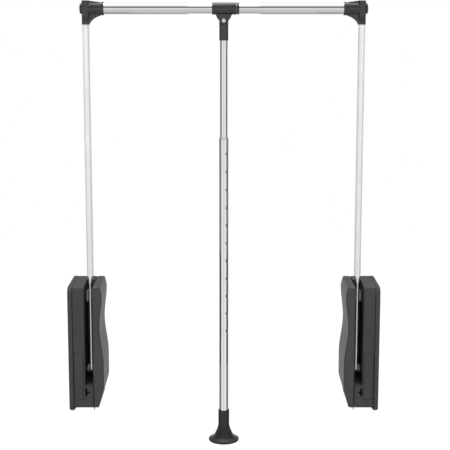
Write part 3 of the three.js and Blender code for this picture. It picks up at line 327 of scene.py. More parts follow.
alongX, alongZ = (0.02, 1, 1), (1, 1, 0.02)  # drawing lines run along the tube
chrome = dict(slot="tube_chrome", metal=1.0, cloudScale=60, grainScale=1600, speckle=0.97,
              rough=(0.05, 0.1), bump=(0.04, 0.01))
finishTable = {
    "housing": dict(slot="housing_plastic", low="#3b3b3d", high="#404042", cloudScale=18, grainScale=2200,
                    speckle=0.86, rough=(0.46, 0.62), specular=0.4, bump=(0.35, 0.12), cells=1700),
    "cover": dict(slot="cover_plastic", low="#38383a", high="#3d3d3f", cloudScale=14, grainScale=2600,
                  speckle=0.9, rough=(0.42, 0.52), bump=(0.2, 0.06)),
    "yoke": dict(slot="yoke_plastic", low="#302e2f", high="#353334", cloudScale=30, grainScale=1800,
                 speckle=0.97, rough=(0.14, 0.2), bump=(0.03, 0.01)),
    "grip": dict(slot="grip_plastic", low="#29292a", high="#2e2e2f", cloudScale=26, grainScale=2000,
                 speckle=0.9, rough=(0.22, 0.32), specular=0.3, bump=(0.15, 0.04)),
    "bearing": dict(slot="bearing_plastic", low="#a8aaad", high="#b6b8ba", cloudScale=40, grainScale=1500,
                    speckle=0.95, rough=(0.3, 0.42), specular=0.6, bump=(0.1, 0.04)),
    "railChrome": dict(chrome, low="#f0f0ee", high="#f6f6f4", stretch=alongX),
    "rodChrome": dict(chrome, low="#e2e2e1", high="#ebebea", stretch=alongZ),
    "arm": dict(slot="arm_paint", metal=0.12, low="#eaeae9", high="#f2f2f1", cloudScale=25, grainScale=2400,
                speckle=0.97, rough=(0.16, 0.24), bump=(0.1, 0.03), bare=(0.190, 0.204)),
    "pin": dict(slot="zinc", metal=1.0, low="#e8e8e6", high="#f2f2f0", cloudScale=140, grainScale=1300,
                speckle=0.95, rough=(0.15, 0.25), bump=(0.05, 0.02)),
    "plate": dict(slot="plate_steel", metal=0.8, low="#45474a", high="#505255", cloudScale=90,
                  grainScale=1200, speckle=0.9, rough=(0.35, 0.5), bump=(0.1, 0.03)),
    "spring": dict(slot="spring_steel", metal=1.0, low="#4a4d51", high="#5c5f63", cloudScale=120,
                   grainScale=1500, speckle=0.9, rough=(0.3, 0.42), bump=(0.1, 0.03)),
    "zinc": dict(slot="zinc", metal=1.0, low="#b3b7bc", high="#c6cace", cloudScale=140, grainScale=1300,
                 speckle=0.92, rough=(0.28, 0.42), bump=(0.08, 0.03)),
}
finishes = {name: makeFinish(name, f) for name, f in finishTable.items()}
print("finishes made:", len(finishes))


# Housing

# Pairs are from and to. Bores, sockets and seats are (where they end, radius). The sill is (length, drop,
# rounding), the lug (reach, y, z), the screw's head (radius, from, to), the guide's hole (from, to, radius)
housing = {
    "front": -57.5, "back": 57.5, "low": -72.0, "top": 193.0, "corner": 5.0, "wall": 2.4, "softEdge": 0.9,
    "body": (9.8, 51.9), "bodyEdge": (0.4, 2.2), "cover": 54.0, "coverCorner": 3.6,
    "plate": (0.0, 9.5), "plateDrop": 6.0, "plateRise": 0.3, "plateEdge": (3.4, 0.4), "plateFront": 16.0,
    "plateFloor": 2.5, "plateRim": 3, "footTo": 14.5,
    "slotFrom": 34.8, "slotFloor": -20.0, "slotBack": 16.0, "slotFillet": 1.2, "sill": (9, 4, 8),
    "belowSill": 6,
    "stations": (0, 0.19, 0.36, 0.66, 0.92, 1), "thickness": (64.5, 75, 75, 67.2, 72.8, 69.5), "lean": 0.6,
    "wallHoles": ((-31.5, 167), (-31.5, -35), (44.5, 96.5), (44.5, -26)), "wallHole": 2.6,
    "screws": ((46.5, 182), (46.5, -61), (-46.5, -61)), "boss": 4.7, "screwHole": 2.3,
    "screwSeat": (2.9, 4.2), "screwEnd": 60.3, "bushHole": 7.4, "pivotBoss": 8, "shaftHole": (3.1, 5.3),
    "rib": 0.8, "ribs": (-19.0, 47.3, 113.5), "ribTo": 8.5, "root": 1.2,
    "coverRibs": (-19.0, 60.5, 140.0), "coverRibFrom": 61.6,
    "ledge": ((9.5, 34.5), (178.3, 181.5)), "lug": (21, (14, 30), (-51, -33)), "cutFrom": -60.5,
    "notches": ((35.0, -46, 39.2, -28), (37.0, -39.4, 44.0, -36.0)), "notchDepth": 2.4, "notchCorner": 0.7,
}
strip = {"x": (12.6, 31.6), "z": (-53.4, 51.6), "depth": 1.4, "corner": 1.4, "gap": 0.9, "recessCorner": 1.8}
sheet = {"x": (52.2, 53.7), "cut": (50, 56), "margin": 3.2, "corner": 2.2, "tab": (6, 13), "tabDrop": 6,
         "tabCorners": (0.6, 1.5)}
screw = {"head": (3.8, 0.6, 2.6), "socket": (2.1, 1.7), "shank": 1.9, "tip": (58, 60)}
guide = {"place": (14, 22), "radius": 3.5, "from": -45, "to": 174, "edge": 0.5, "hole": (-45.3, -30, 3.8)}


def bar(start, end, radius, place, sides=32, axis="x"):
    # A round bar along an axis
    profile = np.array([(core, start), (radius, start), (radius, end), (core, end)], float)
    return turned(profile, axis, place, sides)


def bars(start, end, radius, places):
    return [bar(start, end, radius, place) for place in places]


def block(x, y, z, radius=0.6, edge=0.3):
    # A block with soft edges
    return slab((y[0], z[0], y[1], z[1]), radius, "x", *x, edge, 3)


def bodyOutline(h, inset=0.0, slotInset=0.0, cavity=None, frontOnly=0.0):
    # The side view, clockwise from the back's lower corner. Between the slot's floor and its back it
    # follows the outside, or the channel itself where cavity is given
    front, back = h["front"] + inset + frontOnly, h["back"] - inset
    low, top, r = h["low"] + inset, h["top"] - inset, h["corner"] - inset
    floor, rear, (sill, drop, bend) = h["slotFloor"], h["slotBack"], h["sill"]
    lower = filleted([(back, floor), (back, low, r), (front, low, r), (front, floor - h["belowSill"])], 6)
    if cavity is None:
        edge = filleted([(front + slotInset, floor), (front + slotInset, top - slotInset, r - slotInset),
                         (rear, top - slotInset)], 9)
    else:
        edge = filleted([(front, floor + cavity - drop), (front + sill, floor + cavity, bend),
                         (rear - cavity, floor + cavity, r - cavity), (rear - cavity, top)], 4)
    upper = filleted([(rear + 0.5, top), (back, top, r), (back, floor + 1)], 6)
    return np.concatenate([lower, edge, upper])


def housingBody(h):
    # The side view carried along x: full, then stepping down to the channel at the slot's wall
    quarter = roundEdge(5)
    start, end = h["body"]
    (crisp, first), soft, fillet, slot = h["bodyEdge"], h["softEdge"], h["slotFillet"], h["slotFrom"]
    last = soft / 2
    rows = []
    rows += [(start + crisp * a, bodyOutline(h, crisp * b, frontOnly=first)) for a, b in quarter]
    rows += [(start + crisp + first * a, bodyOutline(h, frontOnly=first * b)) for a, b in quarter[1:]]
    rows += [(slot - soft * b, bodyOutline(h, slotInset=soft * a)) for a, b in quarter]
    rows += [(slot + fillet * a, bodyOutline(h, cavity=fillet * b)) for a, b in quarter]
    rows += [(end - last * b, bodyOutline(h, last * a, cavity=-last * a)) for a, b in quarter]
    whole = carried(rows, "x")
    wall, beyond, corner = h["wall"], end + overrun, h["corner"] / 2
    depth, height = (h["front"] + wall, h["back"] - wall), (h["low"] + wall, h["top"] - wall)
    pockets = [block((start - overrun, slot - wall), depth, height, h["corner"] - wall),
               block((slot, beyond), (h["slotBack"] + wall, depth[1]), height, corner),
               block((slot, beyond), (depth[0], h["slotBack"]), (height[0], h["slotFloor"] - wall), corner)]
    bores = bars(start - overrun, beyond, h["screwHole"], h["screws"])
    bores.append(bar(slot - 2 * overrun, slot + overrun, h["bushHole"], (0, 0)))
    (x0, x1), (z0, z1), gap = strip["x"], strip["z"], strip["gap"]
    recess = slab((x0 - gap, z0 - gap, x1 + gap, z1 + gap), strip["recessCorner"], "y", h["cutFrom"],
                  h["front"] + strip["depth"] + gap, 0.2)
    notches = [slab(box, h["notchCorner"], "y", h["cutFrom"], h["front"] + h["notchDepth"], 0.3)
               for box in h["notches"]]
    return carved(whole, pockets, bars(start, end, h["boss"], h["screws"]), bores + [recess] + notches)


def screwStrip(h, s):
    (x0, x1), (z0, z1) = s["x"], s["z"]
    return slab((x0, z0, x1, z1), s["corner"], "y", h["front"], h["front"] + s["depth"], 0.3)


def coverFace(h, level):
    # Distance of the face from the wall: a smooth step between the stations of the height
    share = np.clip((level - h["low"]) / (h["top"] - h["low"]), 0, 1)
    stations, thickness = np.array(h["stations"]), np.array(h["thickness"], float)
    k = np.clip(np.searchsorted(stations, share, side="left"), 1, len(stations) - 1)
    blend = smoothStep((share - stations[k - 1]) / (stations[k] - stations[k - 1]))
    return between((thickness[k - 1], thickness[k]), blend)


def coverShell(h, wall=0.0, lead=0.0):
    # Rows up the height, drawn in by r (1 - sin t) at both ends; each row is a D with two round corners
    r, plan = h["corner"] - wall, max(h["coverCorner"] - wall, 1.2)
    low, top = h["low"] + wall, h["top"] - wall
    t = np.linspace(0.12, math.pi / 2, 9)
    rise, fall = r * (1 - np.cos(t)), r * (1 - np.sin(t))
    straight = np.linspace(low + r, top - r, 110)[1:-1]
    level = np.concatenate([low + rise, straight, (top - rise)[::-1]])
    pull = np.concatenate([fall, np.zeros(len(straight)), fall[::-1]])[:, None]
    face = coverFace(h, level)[:, None] - wall - h["lean"] * pull
    turn = np.linspace(0, math.pi / 2, 9)[None]
    start, front, back = h["cover"] - lead, h["front"] + wall + pull, h["back"] - wall - pull
    soft = h["softEdge"] * np.array([[1, 0.62, 0.29, 0.0]])
    ease = h["softEdge"] * np.array([[0.0, 0.08, 0.29, 1.0]])
    x = np.concatenate([start + ease + 0 * face, face - plan + plan * np.sin(turn),
                        face - plan + plan * np.cos(turn), start + ease[:, ::-1] + 0 * face], 1)
    y = np.concatenate([front + soft, front + plan - plan * np.cos(turn), back - plan + plan * np.sin(turn),
                        back - soft[:, ::-1]], 1)
    return skin(inSpace(level[:, None], x, y, "z"))


def sideCover(h):
    half, posts, bores = h["wall"] / 2, [], []
    for place in h["screws"]:
        posts.append(bar(h["cover"], coverFace(h, place[1]) - half, h["boss"], place))
        bores.append(bar(h["cover"] - overrun, h["screwEnd"], h["screwHole"], place))
    ribs = [block((h["coverRibFrom"], coverFace(h, level) - half), (h["front"] + half, h["back"] - half),
                  (level - h["rib"], level + h["rib"]), 0.5, 0.2) for level in h["coverRibs"]]
    return carved(coverShell(h), [coverShell(h, h["wall"], overrun)], posts + ribs, bores)


def basePlate(h):
    front, back, low, top = h["front"], h["back"], h["low"] - h["plateDrop"], h["top"] + h["plateRise"]
    (start, end), rim, floor, root = h["plate"], h["plateRim"], h["plateFloor"], h["root"]

    def outline(inset):
        a, b, c, d, r = front + inset, low + inset, back - inset, top - inset, h["corner"] - inset
        return filleted([(a, b, r), (c, b, r), (c, d, r), (a, d, h["plateFront"] - inset)], 10, closed=True)

    def footOutline(inset):
        under = h["low"] - 0.3
        return filleted([(end - 1, low + inset, 0.1), (end + inset / 3, low + inset, 0.6),
                         (h["footTo"] - inset, under, 0.3), (end - 1, under, 0.1)], 3, closed=True)
    beyond, reach, (ledgeY, ledgeZ) = end + overrun, h["lug"][0], h["ledge"]
    hollow = pushed(lambda inset: outline(inset + rim), "x", floor, beyond, 0.8)
    adds = bars(root, end, h["boss"], h["screws"]) + [bar(root, end, h["pivotBoss"], (0, 0))]
    adds += [block((root, end - rim), (front + rim / 2, h["ribTo"]), (level - h["rib"], level + h["rib"]),
                   0.5) for level in h["ribs"]]
    adds += [block((root, end), ledgeY, ledgeZ), block((root, reach), *h["lug"][1:], 1.5),
             pushed(footOutline, "y", front + 1, back - 1, 0.5)]
    seatDepth, seat = h["screwSeat"]
    bores = bars(start - overrun, floor + overrun, h["wallHole"], h["wallHoles"])
    bores += bars(start - overrun, beyond, h["screwHole"], h["screws"])
    bores += bars(start - overrun, seatDepth, seat, h["screws"])
    bores += [bar(h["shaftHole"][0], beyond, h["shaftHole"][1], (0, 0)),
              bar(*guide["hole"], guide["place"], 32, "z")]
    return carved(pushed(outline, "x", start, end, *h["plateEdge"]), [hollow], adds, bores)


def sidePlate(h, s):
    # The sheet between body and cover, with the tab that shows below
    def outline(inset):
        gap, corner, (root, tip) = s["margin"] + inset, s["corner"], s["tabCorners"]
        front, back, low, top = h["front"] + gap, h["back"] - gap, h["low"] + gap, h["top"] - gap
        tabFront, tabBack = h["front"] + s["tab"][0] + inset, h["front"] + s["tab"][1] - inset
        tabLow = h["low"] - s["tabDrop"] + inset
        return filleted([(front, low, corner), (tabFront, low, root), (tabFront, tabLow, tip),
                         (tabBack, tabLow, tip), (tabBack, low, root), (back, low, corner),
                         (back, top, corner), (front, top, corner)], 5, closed=True)
    bores = bars(*s["cut"], h["screwHole"], h["screws"]) + [bar(*s["cut"], h["bushHole"], (0, 0))]
    return carved(pushed(outline, "x", *s["x"], 0.2), bores=bores)


def housingScrew(s, place):
    # Pan head with a round socket, shank and tapered tip
    (radius, outside, inside), (floor, socketRadius), shank = s["head"], s["socket"], s["shank"]
    return lathed([
        (core, floor), (socketRadius, floor, 0.1), (shank, outside, 0.2), (radius, outside, 0.6),
        (radius, inside, 0.2), (shank, inside), (shank, s["tip"][0]), (core, s["tip"][1])], "x", place, 32)


addPair("housing_body", housingBody(housing), "housing")
addPair("screw_strip", screwStrip(housing, strip), "housing")
addPair("base_plate", basePlate(housing), "housing")
addPair("side_plate", sidePlate(housing, sheet), "plate")
addPair("side_cover", sideCover(housing), "cover")
for where, place in zip(("upper", "rear", "front"), housing["screws"]):
    addPair("housing_screw_" + where, housingScrew(screw, place), "zinc")
print("housings made")


# Arms and their bearings

arm = {"x": 43.5, "diameter": 14.4, "flatDepth": 22.0, "flatTop": 187.0, "taper": 26.0, "top": 758.4,
       "edge": 0.4, "squareness": 0.25,
       "neck": (0, 0.35, 0.54, 0.77, 1), "thin": (4.2, 5.2, 6.6, 13.7, 14.4)}
bearing = {"bore": 5.3, "sleeve": 7.1, "flange": 8.4,
           "wall": (32.4, 35.1, 41.1), "plate": (55.7, 51.9, 45.9)}
buffer = {"x": (35.1, 51.6), "ear": 39.8, "front": -9.0, "step": 11.3, "back": 15.7, "z": (151, 172)}
shaft = {"radius": 5, "from": 3.4, "to": 60.7, "edge": 1, "groove": (56, 57.8, 4.2)}


def squaredRing(t, a, b, power):
    # a |cos t|^p and b |sin t|^p with the signs of cos t and sin t: an ellipse at p = 1, squarer below 1
    return [half * np.sign(wave) * np.abs(wave) ** power for half, wave in ((a, np.cos(t)), (b, np.sin(t)))]


def armTube(a):
    # Rings up the height: a rounded bar with a round eye at its foot, swelling to a circle above
    t = angles(56)
    eye = np.linspace(1.45, 0, 10)
    level = np.concatenate([-a["flatDepth"] / 2 * np.sin(eye), np.linspace(0, a["flatTop"], 14)[1:],
                            a["flatTop"] + np.linspace(0, a["taper"], 20)[1:],
                            [a["top"] - a["edge"], a["top"]]])
    depth = np.concatenate([np.cos(eye), np.ones(len(level) - len(eye))])
    rise = np.clip((level - a["flatTop"]) / a["taper"], 0, 1)
    flatness = 1 - smoothStep(rise)
    power = between((1, a["squareness"]), flatness)[:, None]
    tip = np.ones(len(level))
    tip[-1] = 0.95
    halfX = (np.interp(rise, a["neck"], a["thin"]) / 2 * tip)[:, None]
    halfY = (between((a["diameter"], a["flatDepth"]), flatness) / 2 * depth * tip)[:, None]
    x, y = squaredRing(t, halfX, halfY, power)
    return skin(inSpace(level[:, None], a["x"] + x, y, "z"))


def bush(b, far, near, face):
    # A sleeve with a flange against the arm
    return lathed([
        (b["bore"], far), (b["sleeve"], far, 0.3), (b["sleeve"], near), (b["flange"], near, 0.4),
        (b["flange"], face, 0.4), (b["bore"], face, 0.3)], "x", (0, 0), 48, 3, loop=True)


def stopBuffer(b):
    # An L about the arm: beside it and behind it
    def outline(inset):
        left, right, ear = b["x"][0] + inset, b["x"][1] - inset, b["ear"] - inset
        front, step, back = b["front"] + inset, b["step"] + inset, b["back"] - inset
        return filleted([(left, front, 1), (ear, front, 1), (ear, step, 0.6), (right, step, 1),
                         (right, back, 0.8), (left, back, 0.8)], 4, closed=True)
    return pushed(outline, "z", *b["z"], 0.5)


def pivotShaft(s):
    # A shaft with the clip's groove
    (start, end, root), r = s["groove"], s["radius"]
    return lathed([
        (core, s["from"]), (r, s["from"], s["edge"]), (r, start), (root, start), (root, end), (r, end),
        (r, s["to"], s["edge"]), (core, s["to"])], "x", (0, 0), 48)


addPair("arm_tube", armTube(arm), "arm")
addPair("wall_bush", bush(bearing, *bearing["wall"]), "bearing")
addPair("plate_bush", bush(bearing, *bearing["plate"]), "bearing")
addPair("stop_buffer", stopBuffer(buffer), "bearing")


# Spring drive inside the housing

spring = {"radius": 8.5, "wire": 1.5, "from": -10.9, "to": 165.7, "seat": 1.65, "curls": 17, "even": 0.88,
          "travel": 38.4}


def coilSpring(s, place):
    # A wire's circle carried along a helix, (x + R cos t, y + R sin t, level), with less rise at both ends
    turns = np.linspace(0, s["curls"], s["curls"] * 26 + 1)
    t, share = turns * 2 * math.pi, turns / s["curls"]
    low, high = s["from"] + s["seat"], s["to"] - s["seat"]
    level = between((low, high), s["even"] * share + (1 - s["even"]) * smoothStep(share))
    out = inSpace(0, np.cos(t), np.sin(t), "z")
    line = s["radius"] * out + inSpace(level, *place, "z")
    tangent = np.gradient(line, axis=0)
    tangent /= np.linalg.norm(tangent, axis=1, keepdims=True)
    across = np.cross(tangent, out)
    a = angles(12)[..., None]
    return skin(line[:, None] + s["wire"] * (np.cos(a) * out[:, None] + np.sin(a) * across[:, None]))


def guideRod(g):
    return lathed([(core, g["from"]), (g["radius"], g["from"], g["edge"]),
                   (g["radius"], g["to"], g["edge"]), (core, g["to"])], "z", g["place"], 32)


springs = addPair("spring", coilSpring(spring, guide["place"]), "spring")
for side, piece in zip(("left", "right"), springs):
    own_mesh(piece)
addPair("guide_rod", guideRod(guide), "zinc")
addPair("pivot_shaft", pivotShaft(shaft), "zinc")
print("arms and drives made")


# Corner connectors and rail

connector = {"start": 44.0, "end": 82.0, "lip": (4.6, 14.0), "collar": (13.2, 13.5), "outer": 36.1,
             "column": (43.9, 8.1, 740.2, 790.0), "depth": (8.6, 13.7), "swell": (744.0, 758.0),
             "flank": (766, 780), "square": (1.0, 0.62), "crown": 3.4, "web": 6.9, "filletTip": (57, 753.5),
             "crownReach": 73, "seat": 11.9, "armBore": (758.7, 7.35), "railBore": (42, 12.25),
             "capBore": (30, 11.3), "stemBore": (45, 4.5)}
cap = {"radius": 11.0, "face": 35.8, "outside": 30.7, "dome": (1.6, 2.4), "edge": 0.8, "stem": 4.2,
       "end": 41.7}
rail = {"outer": (10.8, 12.0, 42.3, 256.0), "inner": (9.2, 10.4, 106.0, 556.0)}
railLine = (0, railHeight)


def connectorColumn(c):
    # Rings up the height, squarer as the column swells, drawn in at the foot and rounded off at the crown
    x, half, low, high = c["column"]
    t = angles(72)
    turn = np.linspace(0, math.pi / 2, 9)
    level = np.concatenate([[low, low + 0.15, low + 0.5], np.linspace(*c["swell"], 12),
                            np.linspace(*c["flank"], 4), high - c["crown"] * (1 - np.sin(turn))])
    pull = np.zeros(len(level))
    pull[:2] = 0.5, 0.15
    pull[-len(turn):] = c["crown"] * (1 - np.cos(turn))
    grow = smoothStep(np.clip((level - c["swell"][0]) / (c["swell"][1] - c["swell"][0]), 0, 1))
    power = between(c["square"], grow)[:, None]
    a = (half + 0.4 * (1 - grow) - 0.6 * pull)[:, None]
    b = (between(c["depth"], grow) - pull)[:, None]
    across, along = squaredRing(t, a, b, power)
    return skin(inSpace(level[:, None], x + across, along, "z"))


def cornerConnector(c):
    (x, half, low, high), height, outer = c["column"], railHeight, c["outer"]
    lipStart, root = c["end"] - c["lip"][0], c["collar"][1]
    collar = lathed([
        (core, c["start"]), (c["collar"][0], c["start"]), (root, lipStart, 1.0),
        (c["lip"][1], lipStart + 0.6, 0.3), (c["lip"][1], c["end"], 0.5), (core, c["end"])],
        "x", railLine, 72)

    def web(inset):
        # Curve of the web's lower edge: (1-s)^2 a + 2 s (1-s) tip + s^2 b
        s = np.linspace(0, 1, 18)[:, None]
        a = np.array([[x + half - 0.4 - inset, low + 0.2]])
        b = np.array([[lipStart + 0.5, height - root + 0.1 + inset]])
        tip = np.array([c["filletTip"]]) + (-inset, inset)
        curve = (1 - s) ** 2 * a + 2 * s * (1 - s) * tip + s ** 2 * b
        rest = [(lipStart + 0.5, height), (c["crownReach"], height + root - 0.2 - inset),
                (x + half + 3, high - 1 - inset), (x, high - 0.6 - inset), (x, low + 0.2)]
        return np.concatenate([curve, rest])
    radius = c["seat"]
    seat = lathed([(core, outer), (radius, outer, 0.7), (radius, x), (core, x)], "x", railLine, 64)
    (armStop, armRadius), (railStop, railRadius) = c["armBore"], c["railBore"]
    (capFrom, capRadius), (stemTo, stemRadius) = c["capBore"], c["stemBore"]
    bores = [bar(railStop, c["end"] + overrun, railRadius, railLine, 72),
             bar(low - overrun, armStop, armRadius, (arm["x"], 0), 56, "z"),
             bar(capFrom, outer, capRadius, railLine, 64), bar(capFrom, stemTo, stemRadius, railLine)]
    return carved(connectorColumn(c), (), [seat, pushed(web, "y", -c["web"], c["web"], 1.3), collar], bores)


def cornerCap(c):
    # A disc whose face falls off by a depth times a power of the radius, and its stem
    share = np.linspace(0.02, 1, 14)[:, None]
    (depth, power), radius, edge = c["dome"], c["radius"], c["edge"]
    dome = np.concatenate([share * (radius - edge), c["outside"] + depth * share ** power], 1)
    rest = filleted([dome[-1], (radius, c["outside"] + 2.2, edge), (radius, c["face"], 0.2),
                     (c["stem"], c["face"]), (c["stem"], c["end"], 0.3), (core, c["end"])], 4)
    return turned(np.concatenate([dome[:-1], rest]), "x", railLine, 64)


addPair("corner_connector", cornerConnector(connector), "yoke")
addPair("corner_cap", cornerCap(cap), "yoke")
addPair("outer_rail", tube(*rail["outer"], "x", railLine, 96), "railChrome")
addPiece("inner_rail", tube(*rail["inner"], "x", railLine, 96), "railChrome")
print("rail made")


# Yoke and its pin

yoke = {"sleeve": (306.4, 357.6), "bore": 10.7, "radius": 12.5, "soft": 0.9, "ring": (12.0, 357.9, 363.1),
        "ears": (5.0, 8.8), "half": 17.4, "tip": 7.2, "waist": (13.6, 4.6),
        "pinHeight": 748.2, "pinBore": (12.0, 3.3)}
# The pin's head is a rolled rivet head round a hollow, as (radius, place, rounding)
pin = {"head": ((1.2, -10.6, 0.2), (1.5, -12.1, 0.5), (3.0, -12.2, 0.8), (4.3, -11.3, 0.5),
                (4.4, -10.4, 0.1)),
       "shank": 3, "end": 10.9, "washer": (5.7, -10.1, -9.1), "collar": (4.5, 9.1, 10.9)}
pinLine = (middle, yoke["pinHeight"])


def pinBore(k):
    reach, radius = k["pinBore"]
    return bar(-reach, reach, radius, pinLine, 32, "y")


def yokeBody(k):
    bore, radius, half = k["bore"], k["radius"], k["half"]
    (start, end), (near, far) = k["sleeve"], k["ears"]
    sleeve = lathed([(bore, start, 0.3), (radius, start, k["soft"]), (radius, end, k["soft"]),
                     (bore, end, 0.3)], "x", railLine, 88, 4, loop=True)
    earTop = railHeight - bore - 0.3
    (side, rise), pinHeight = k["waist"], k["pinHeight"]
    lean = math.acos(k["tip"] / math.hypot(side, rise)) - math.atan2(rise, side)

    def ear(inset):
        # Flanks with a soft waist that run into the round tip below the pin
        t = np.linspace(math.pi + lean, 2 * math.pi - lean, 22)
        r = k["tip"] - inset
        tip = np.stack([middle + r * np.cos(t), pinHeight + r * np.sin(t)], -1)
        first, last = tip[0] + (-0.02, 0.01), tip[-1] + (0.02, 0.01)
        flank = [last, (middle + side - inset, pinHeight + rise, 7), (middle + half - inset, earTop),
                 (middle - half + inset, earTop), (middle - side + inset, pinHeight + rise, 7), first]
        return np.concatenate([tip, filleted([tuple(p) for p in flank], 6)[1:-1]])
    rib = (middle - half + 0.6, -far + 0.3, middle + half - 0.6, far - 0.3)
    adds = [pushed(ear, "y", -far, -near, 0.7), pushed(ear, "y", near, far, 0.7),
            slab(rib, 1, "z", railHeight - radius - 1.2, earTop, 0.3)]
    return carved(sleeve, (), adds, [bar(start - overrun, end + overrun, bore, railLine, 88), pinBore(k)])


def yokePin(p):
    inside, seat = p["head"][0][1], p["head"][-1][1]
    return lathed([(core, inside), *p["head"], (p["shank"], seat), (p["shank"], p["end"], 0.3),
                   (core, p["end"])], "y", pinLine, 48)


def pinTube(outer, start, end, sides, edge):
    return tube(yoke["pinBore"][1], outer, start, end, "y", pinLine, sides, edge)


addPiece("yoke_body", yokeBody(yoke), "yoke")
addPiece("yoke_ring", tube(yoke["bore"], *yoke["ring"], "x", railLine, 80, 0.5), "yoke")
addPiece("yoke_pin", yokePin(pin), "pin")
addPiece("pin_washer", pinTube(*pin["washer"], 40, 0.2), "yoke")
addPiece("pin_collar", pinTube(*pin["collar"], 36, 0.3), "zinc")


# Pull rod

socket = {"radius": 9.5, "bottom": 707.3, "shoulder": 740.7, "tongue": 4.7, "bore": 8.4,
          "screwHeight": 717.2,
          "screw": ((0.6, -8.8), (0.7, -9.1, 0.1), (1.9, -9.1, 0.2), (2, -8.4), (0.6, -8.4))}
rods = {"upper": (7.0, 8.1, 73.0, 728.7), "lower": (9.1, 10.0), "lowerFrom": -119.0, "lowerTo": 501.2,
        "edge": 0.3, "hole": 4.1, "pitch": 38.5, "holes": 11, "firstHole": 85.0, "azimuth": 47.0}
rodGuide = {"bore": 8.4, "sleeve": 8.95, "flange": 10, "from": 489.2, "shoulder": 501.5, "to": 503.9}
rodLine = (middle, 0)


def rodSocket(s):
    r, bottom, shoulder = s["radius"], s["bottom"], s["shoulder"]
    stem = lathed([(s["bore"], bottom + 20), (s["bore"], bottom, 0.3), (r, bottom, 0.7),
                   (r, shoulder, 1.3), (core, shoulder)], "z", rodLine, 64)

    def tongue(inset):
        # Half a circle about the pin on a straight neck
        half = r - inset
        t = np.linspace(0, math.pi, 26)
        arch = np.stack([middle + half * np.cos(t), yoke["pinHeight"] + half * np.sin(t)], -1)
        return np.concatenate([arch, [(middle - half, shoulder - 6), (middle + half, shoulder - 6)]])
    return carved(stem, (), [pushed(tongue, "y", -s["tongue"], s["tongue"], 0.6)], [pinBore(yoke)])


def sheetWithHole(r, rings=14, wide=44, high=16):
    # One tile of the tube's sheet, as wide as the girth: rings blend from the hole's circle to the edge
    x, z = math.pi * r["lower"][1], r["pitch"] / 2
    corners = ((x, -z, high), (x, z, wide), (-x, z, high), (-x, -z, wide))
    sides = []
    for k, (startX, startZ, count) in enumerate(corners):
        endX, endZ, _ = corners[(k + 1) % 4]
        sides.append(np.stack([np.linspace(startX, endX, count, endpoint=False),
                               np.linspace(startZ, endZ, count, endpoint=False)], -1))
    edge = np.concatenate(sides)
    turn = np.arctan2(edge[:, 1], edge[:, 0])
    circle = r["hole"] * np.stack([np.cos(turn), np.sin(turn)], -1)
    share = (np.linspace(0, 1, rings) ** 1.4)[:, None, None]
    return circle * (1 - share) + edge * share


def lowerRod(r):
    # Tiles with a hole each, rolled up: (radius cos t, radius sin t, height), t = lead + distance / outer
    flat = sheetWithHole(r)
    inner, outer = r["lower"]
    lead = math.radians(r["azimuth"]) - math.pi / 2
    points, faces = [], []

    def add(grid, ring):
        base = sum(len(p) for p in points)
        rows, columns = grid.shape[:2]
        a = np.arange(rows - 1)[:, None]
        b = np.arange(columns if ring else columns - 1)[None]
        here, across = a * columns + b, a * columns + (b + 1) % columns
        points.append(grid.reshape(-1, 3))
        quads = np.stack([here, across, across + columns, here + columns], -1)
        faces.extend((quads.reshape(-1, 4) + base).tolist())

    def rolled(distance, height, radius):
        angle = lead + distance / outer
        return inSpace(height, middle + radius * np.cos(angle), radius * np.sin(angle), "z")
    for k in range(r["holes"]):
        distance, height = flat[..., 0], flat[..., 1] + r["firstHole"] + k * r["pitch"]
        add(rolled(distance, height, outer), True)
        add(rolled(distance, height, inner)[:, ::-1], True)
        add(np.stack([rolled(distance[0], height[0], radius) for radius in (inner, outer)]), True)
    # Plain tube below and above the tiles, with rounded ends
    around = np.linspace(-math.pi * outer, math.pi * outer, 45)[None]
    low, high = r["firstHole"] - r["pitch"] / 2, r["firstHole"] + (r["holes"] - 0.5) * r["pitch"]
    for start, end in ((low, r["lowerFrom"]), (high, r["lowerTo"])):
        step, half = math.copysign(r["edge"], end - start), (start + end) / 2
        level = np.array([start, half, end - step, end, end, end - step, half, start])
        radius = np.array([outer, outer, outer, outer - r["edge"], inner + r["edge"], inner, inner, inner])
        grid = rolled(around, level[:, None], radius[:, None])
        add(grid[:, ::-1] if end > start else grid, False)
    return np.concatenate(points), faces


def guideRing(g):
    return lathed([
        (g["bore"], g["from"]), (g["sleeve"], g["from"], 0.2), (g["sleeve"], g["shoulder"]),
        (g["flange"], g["shoulder"], 0.2), (g["flange"], g["to"], 1.0), (g["bore"], g["to"], 0.3)],
        "z", rodLine, 72, 4, loop=True)


addPiece("rod_socket", rodSocket(socket), "yoke")
addPiece("set_screw", lathed(socket["screw"], "y", (middle, socket["screwHeight"]), 28, 3, loop=True),
         "spring")
addPiece("upper_rod", tube(*rods["upper"], "z", rodLine, 96), "rodChrome")
lower = addPiece("lower_rod", lowerRod(rods), "rodChrome")
lower.modifiers.new("merge", "WELD").merge_threshold = 0.01 * mm
addPiece("rod_guide", guideRing(rodGuide), "bearing")


# Bell grip

# The rim is (distance in from the flange's edge, distance up from its foot, rounding), from the top down
bell = {"top": -94.7, "height": 69.0, "collar": 12.0, "collarTo": 33, "skirt": 23.0, "flange": 33.5,
        "rim": ((4.4, 4.6, 4.0), (1.2, 3.9, 1.0), (0, 2.2, 1), (0.8, 0, 0.5), (6.4, 0, 1.0)),
        "flareFrom": 0.48, "flareTo": 0.873, "power": 1.5, "flutes": 10, "fluteDepth": 0.55,
        "rod": (10.2, 25), "mouth": ((18.2, 0.82, 3), (7.8, 0.56, 2)), "hollowTo": 27}


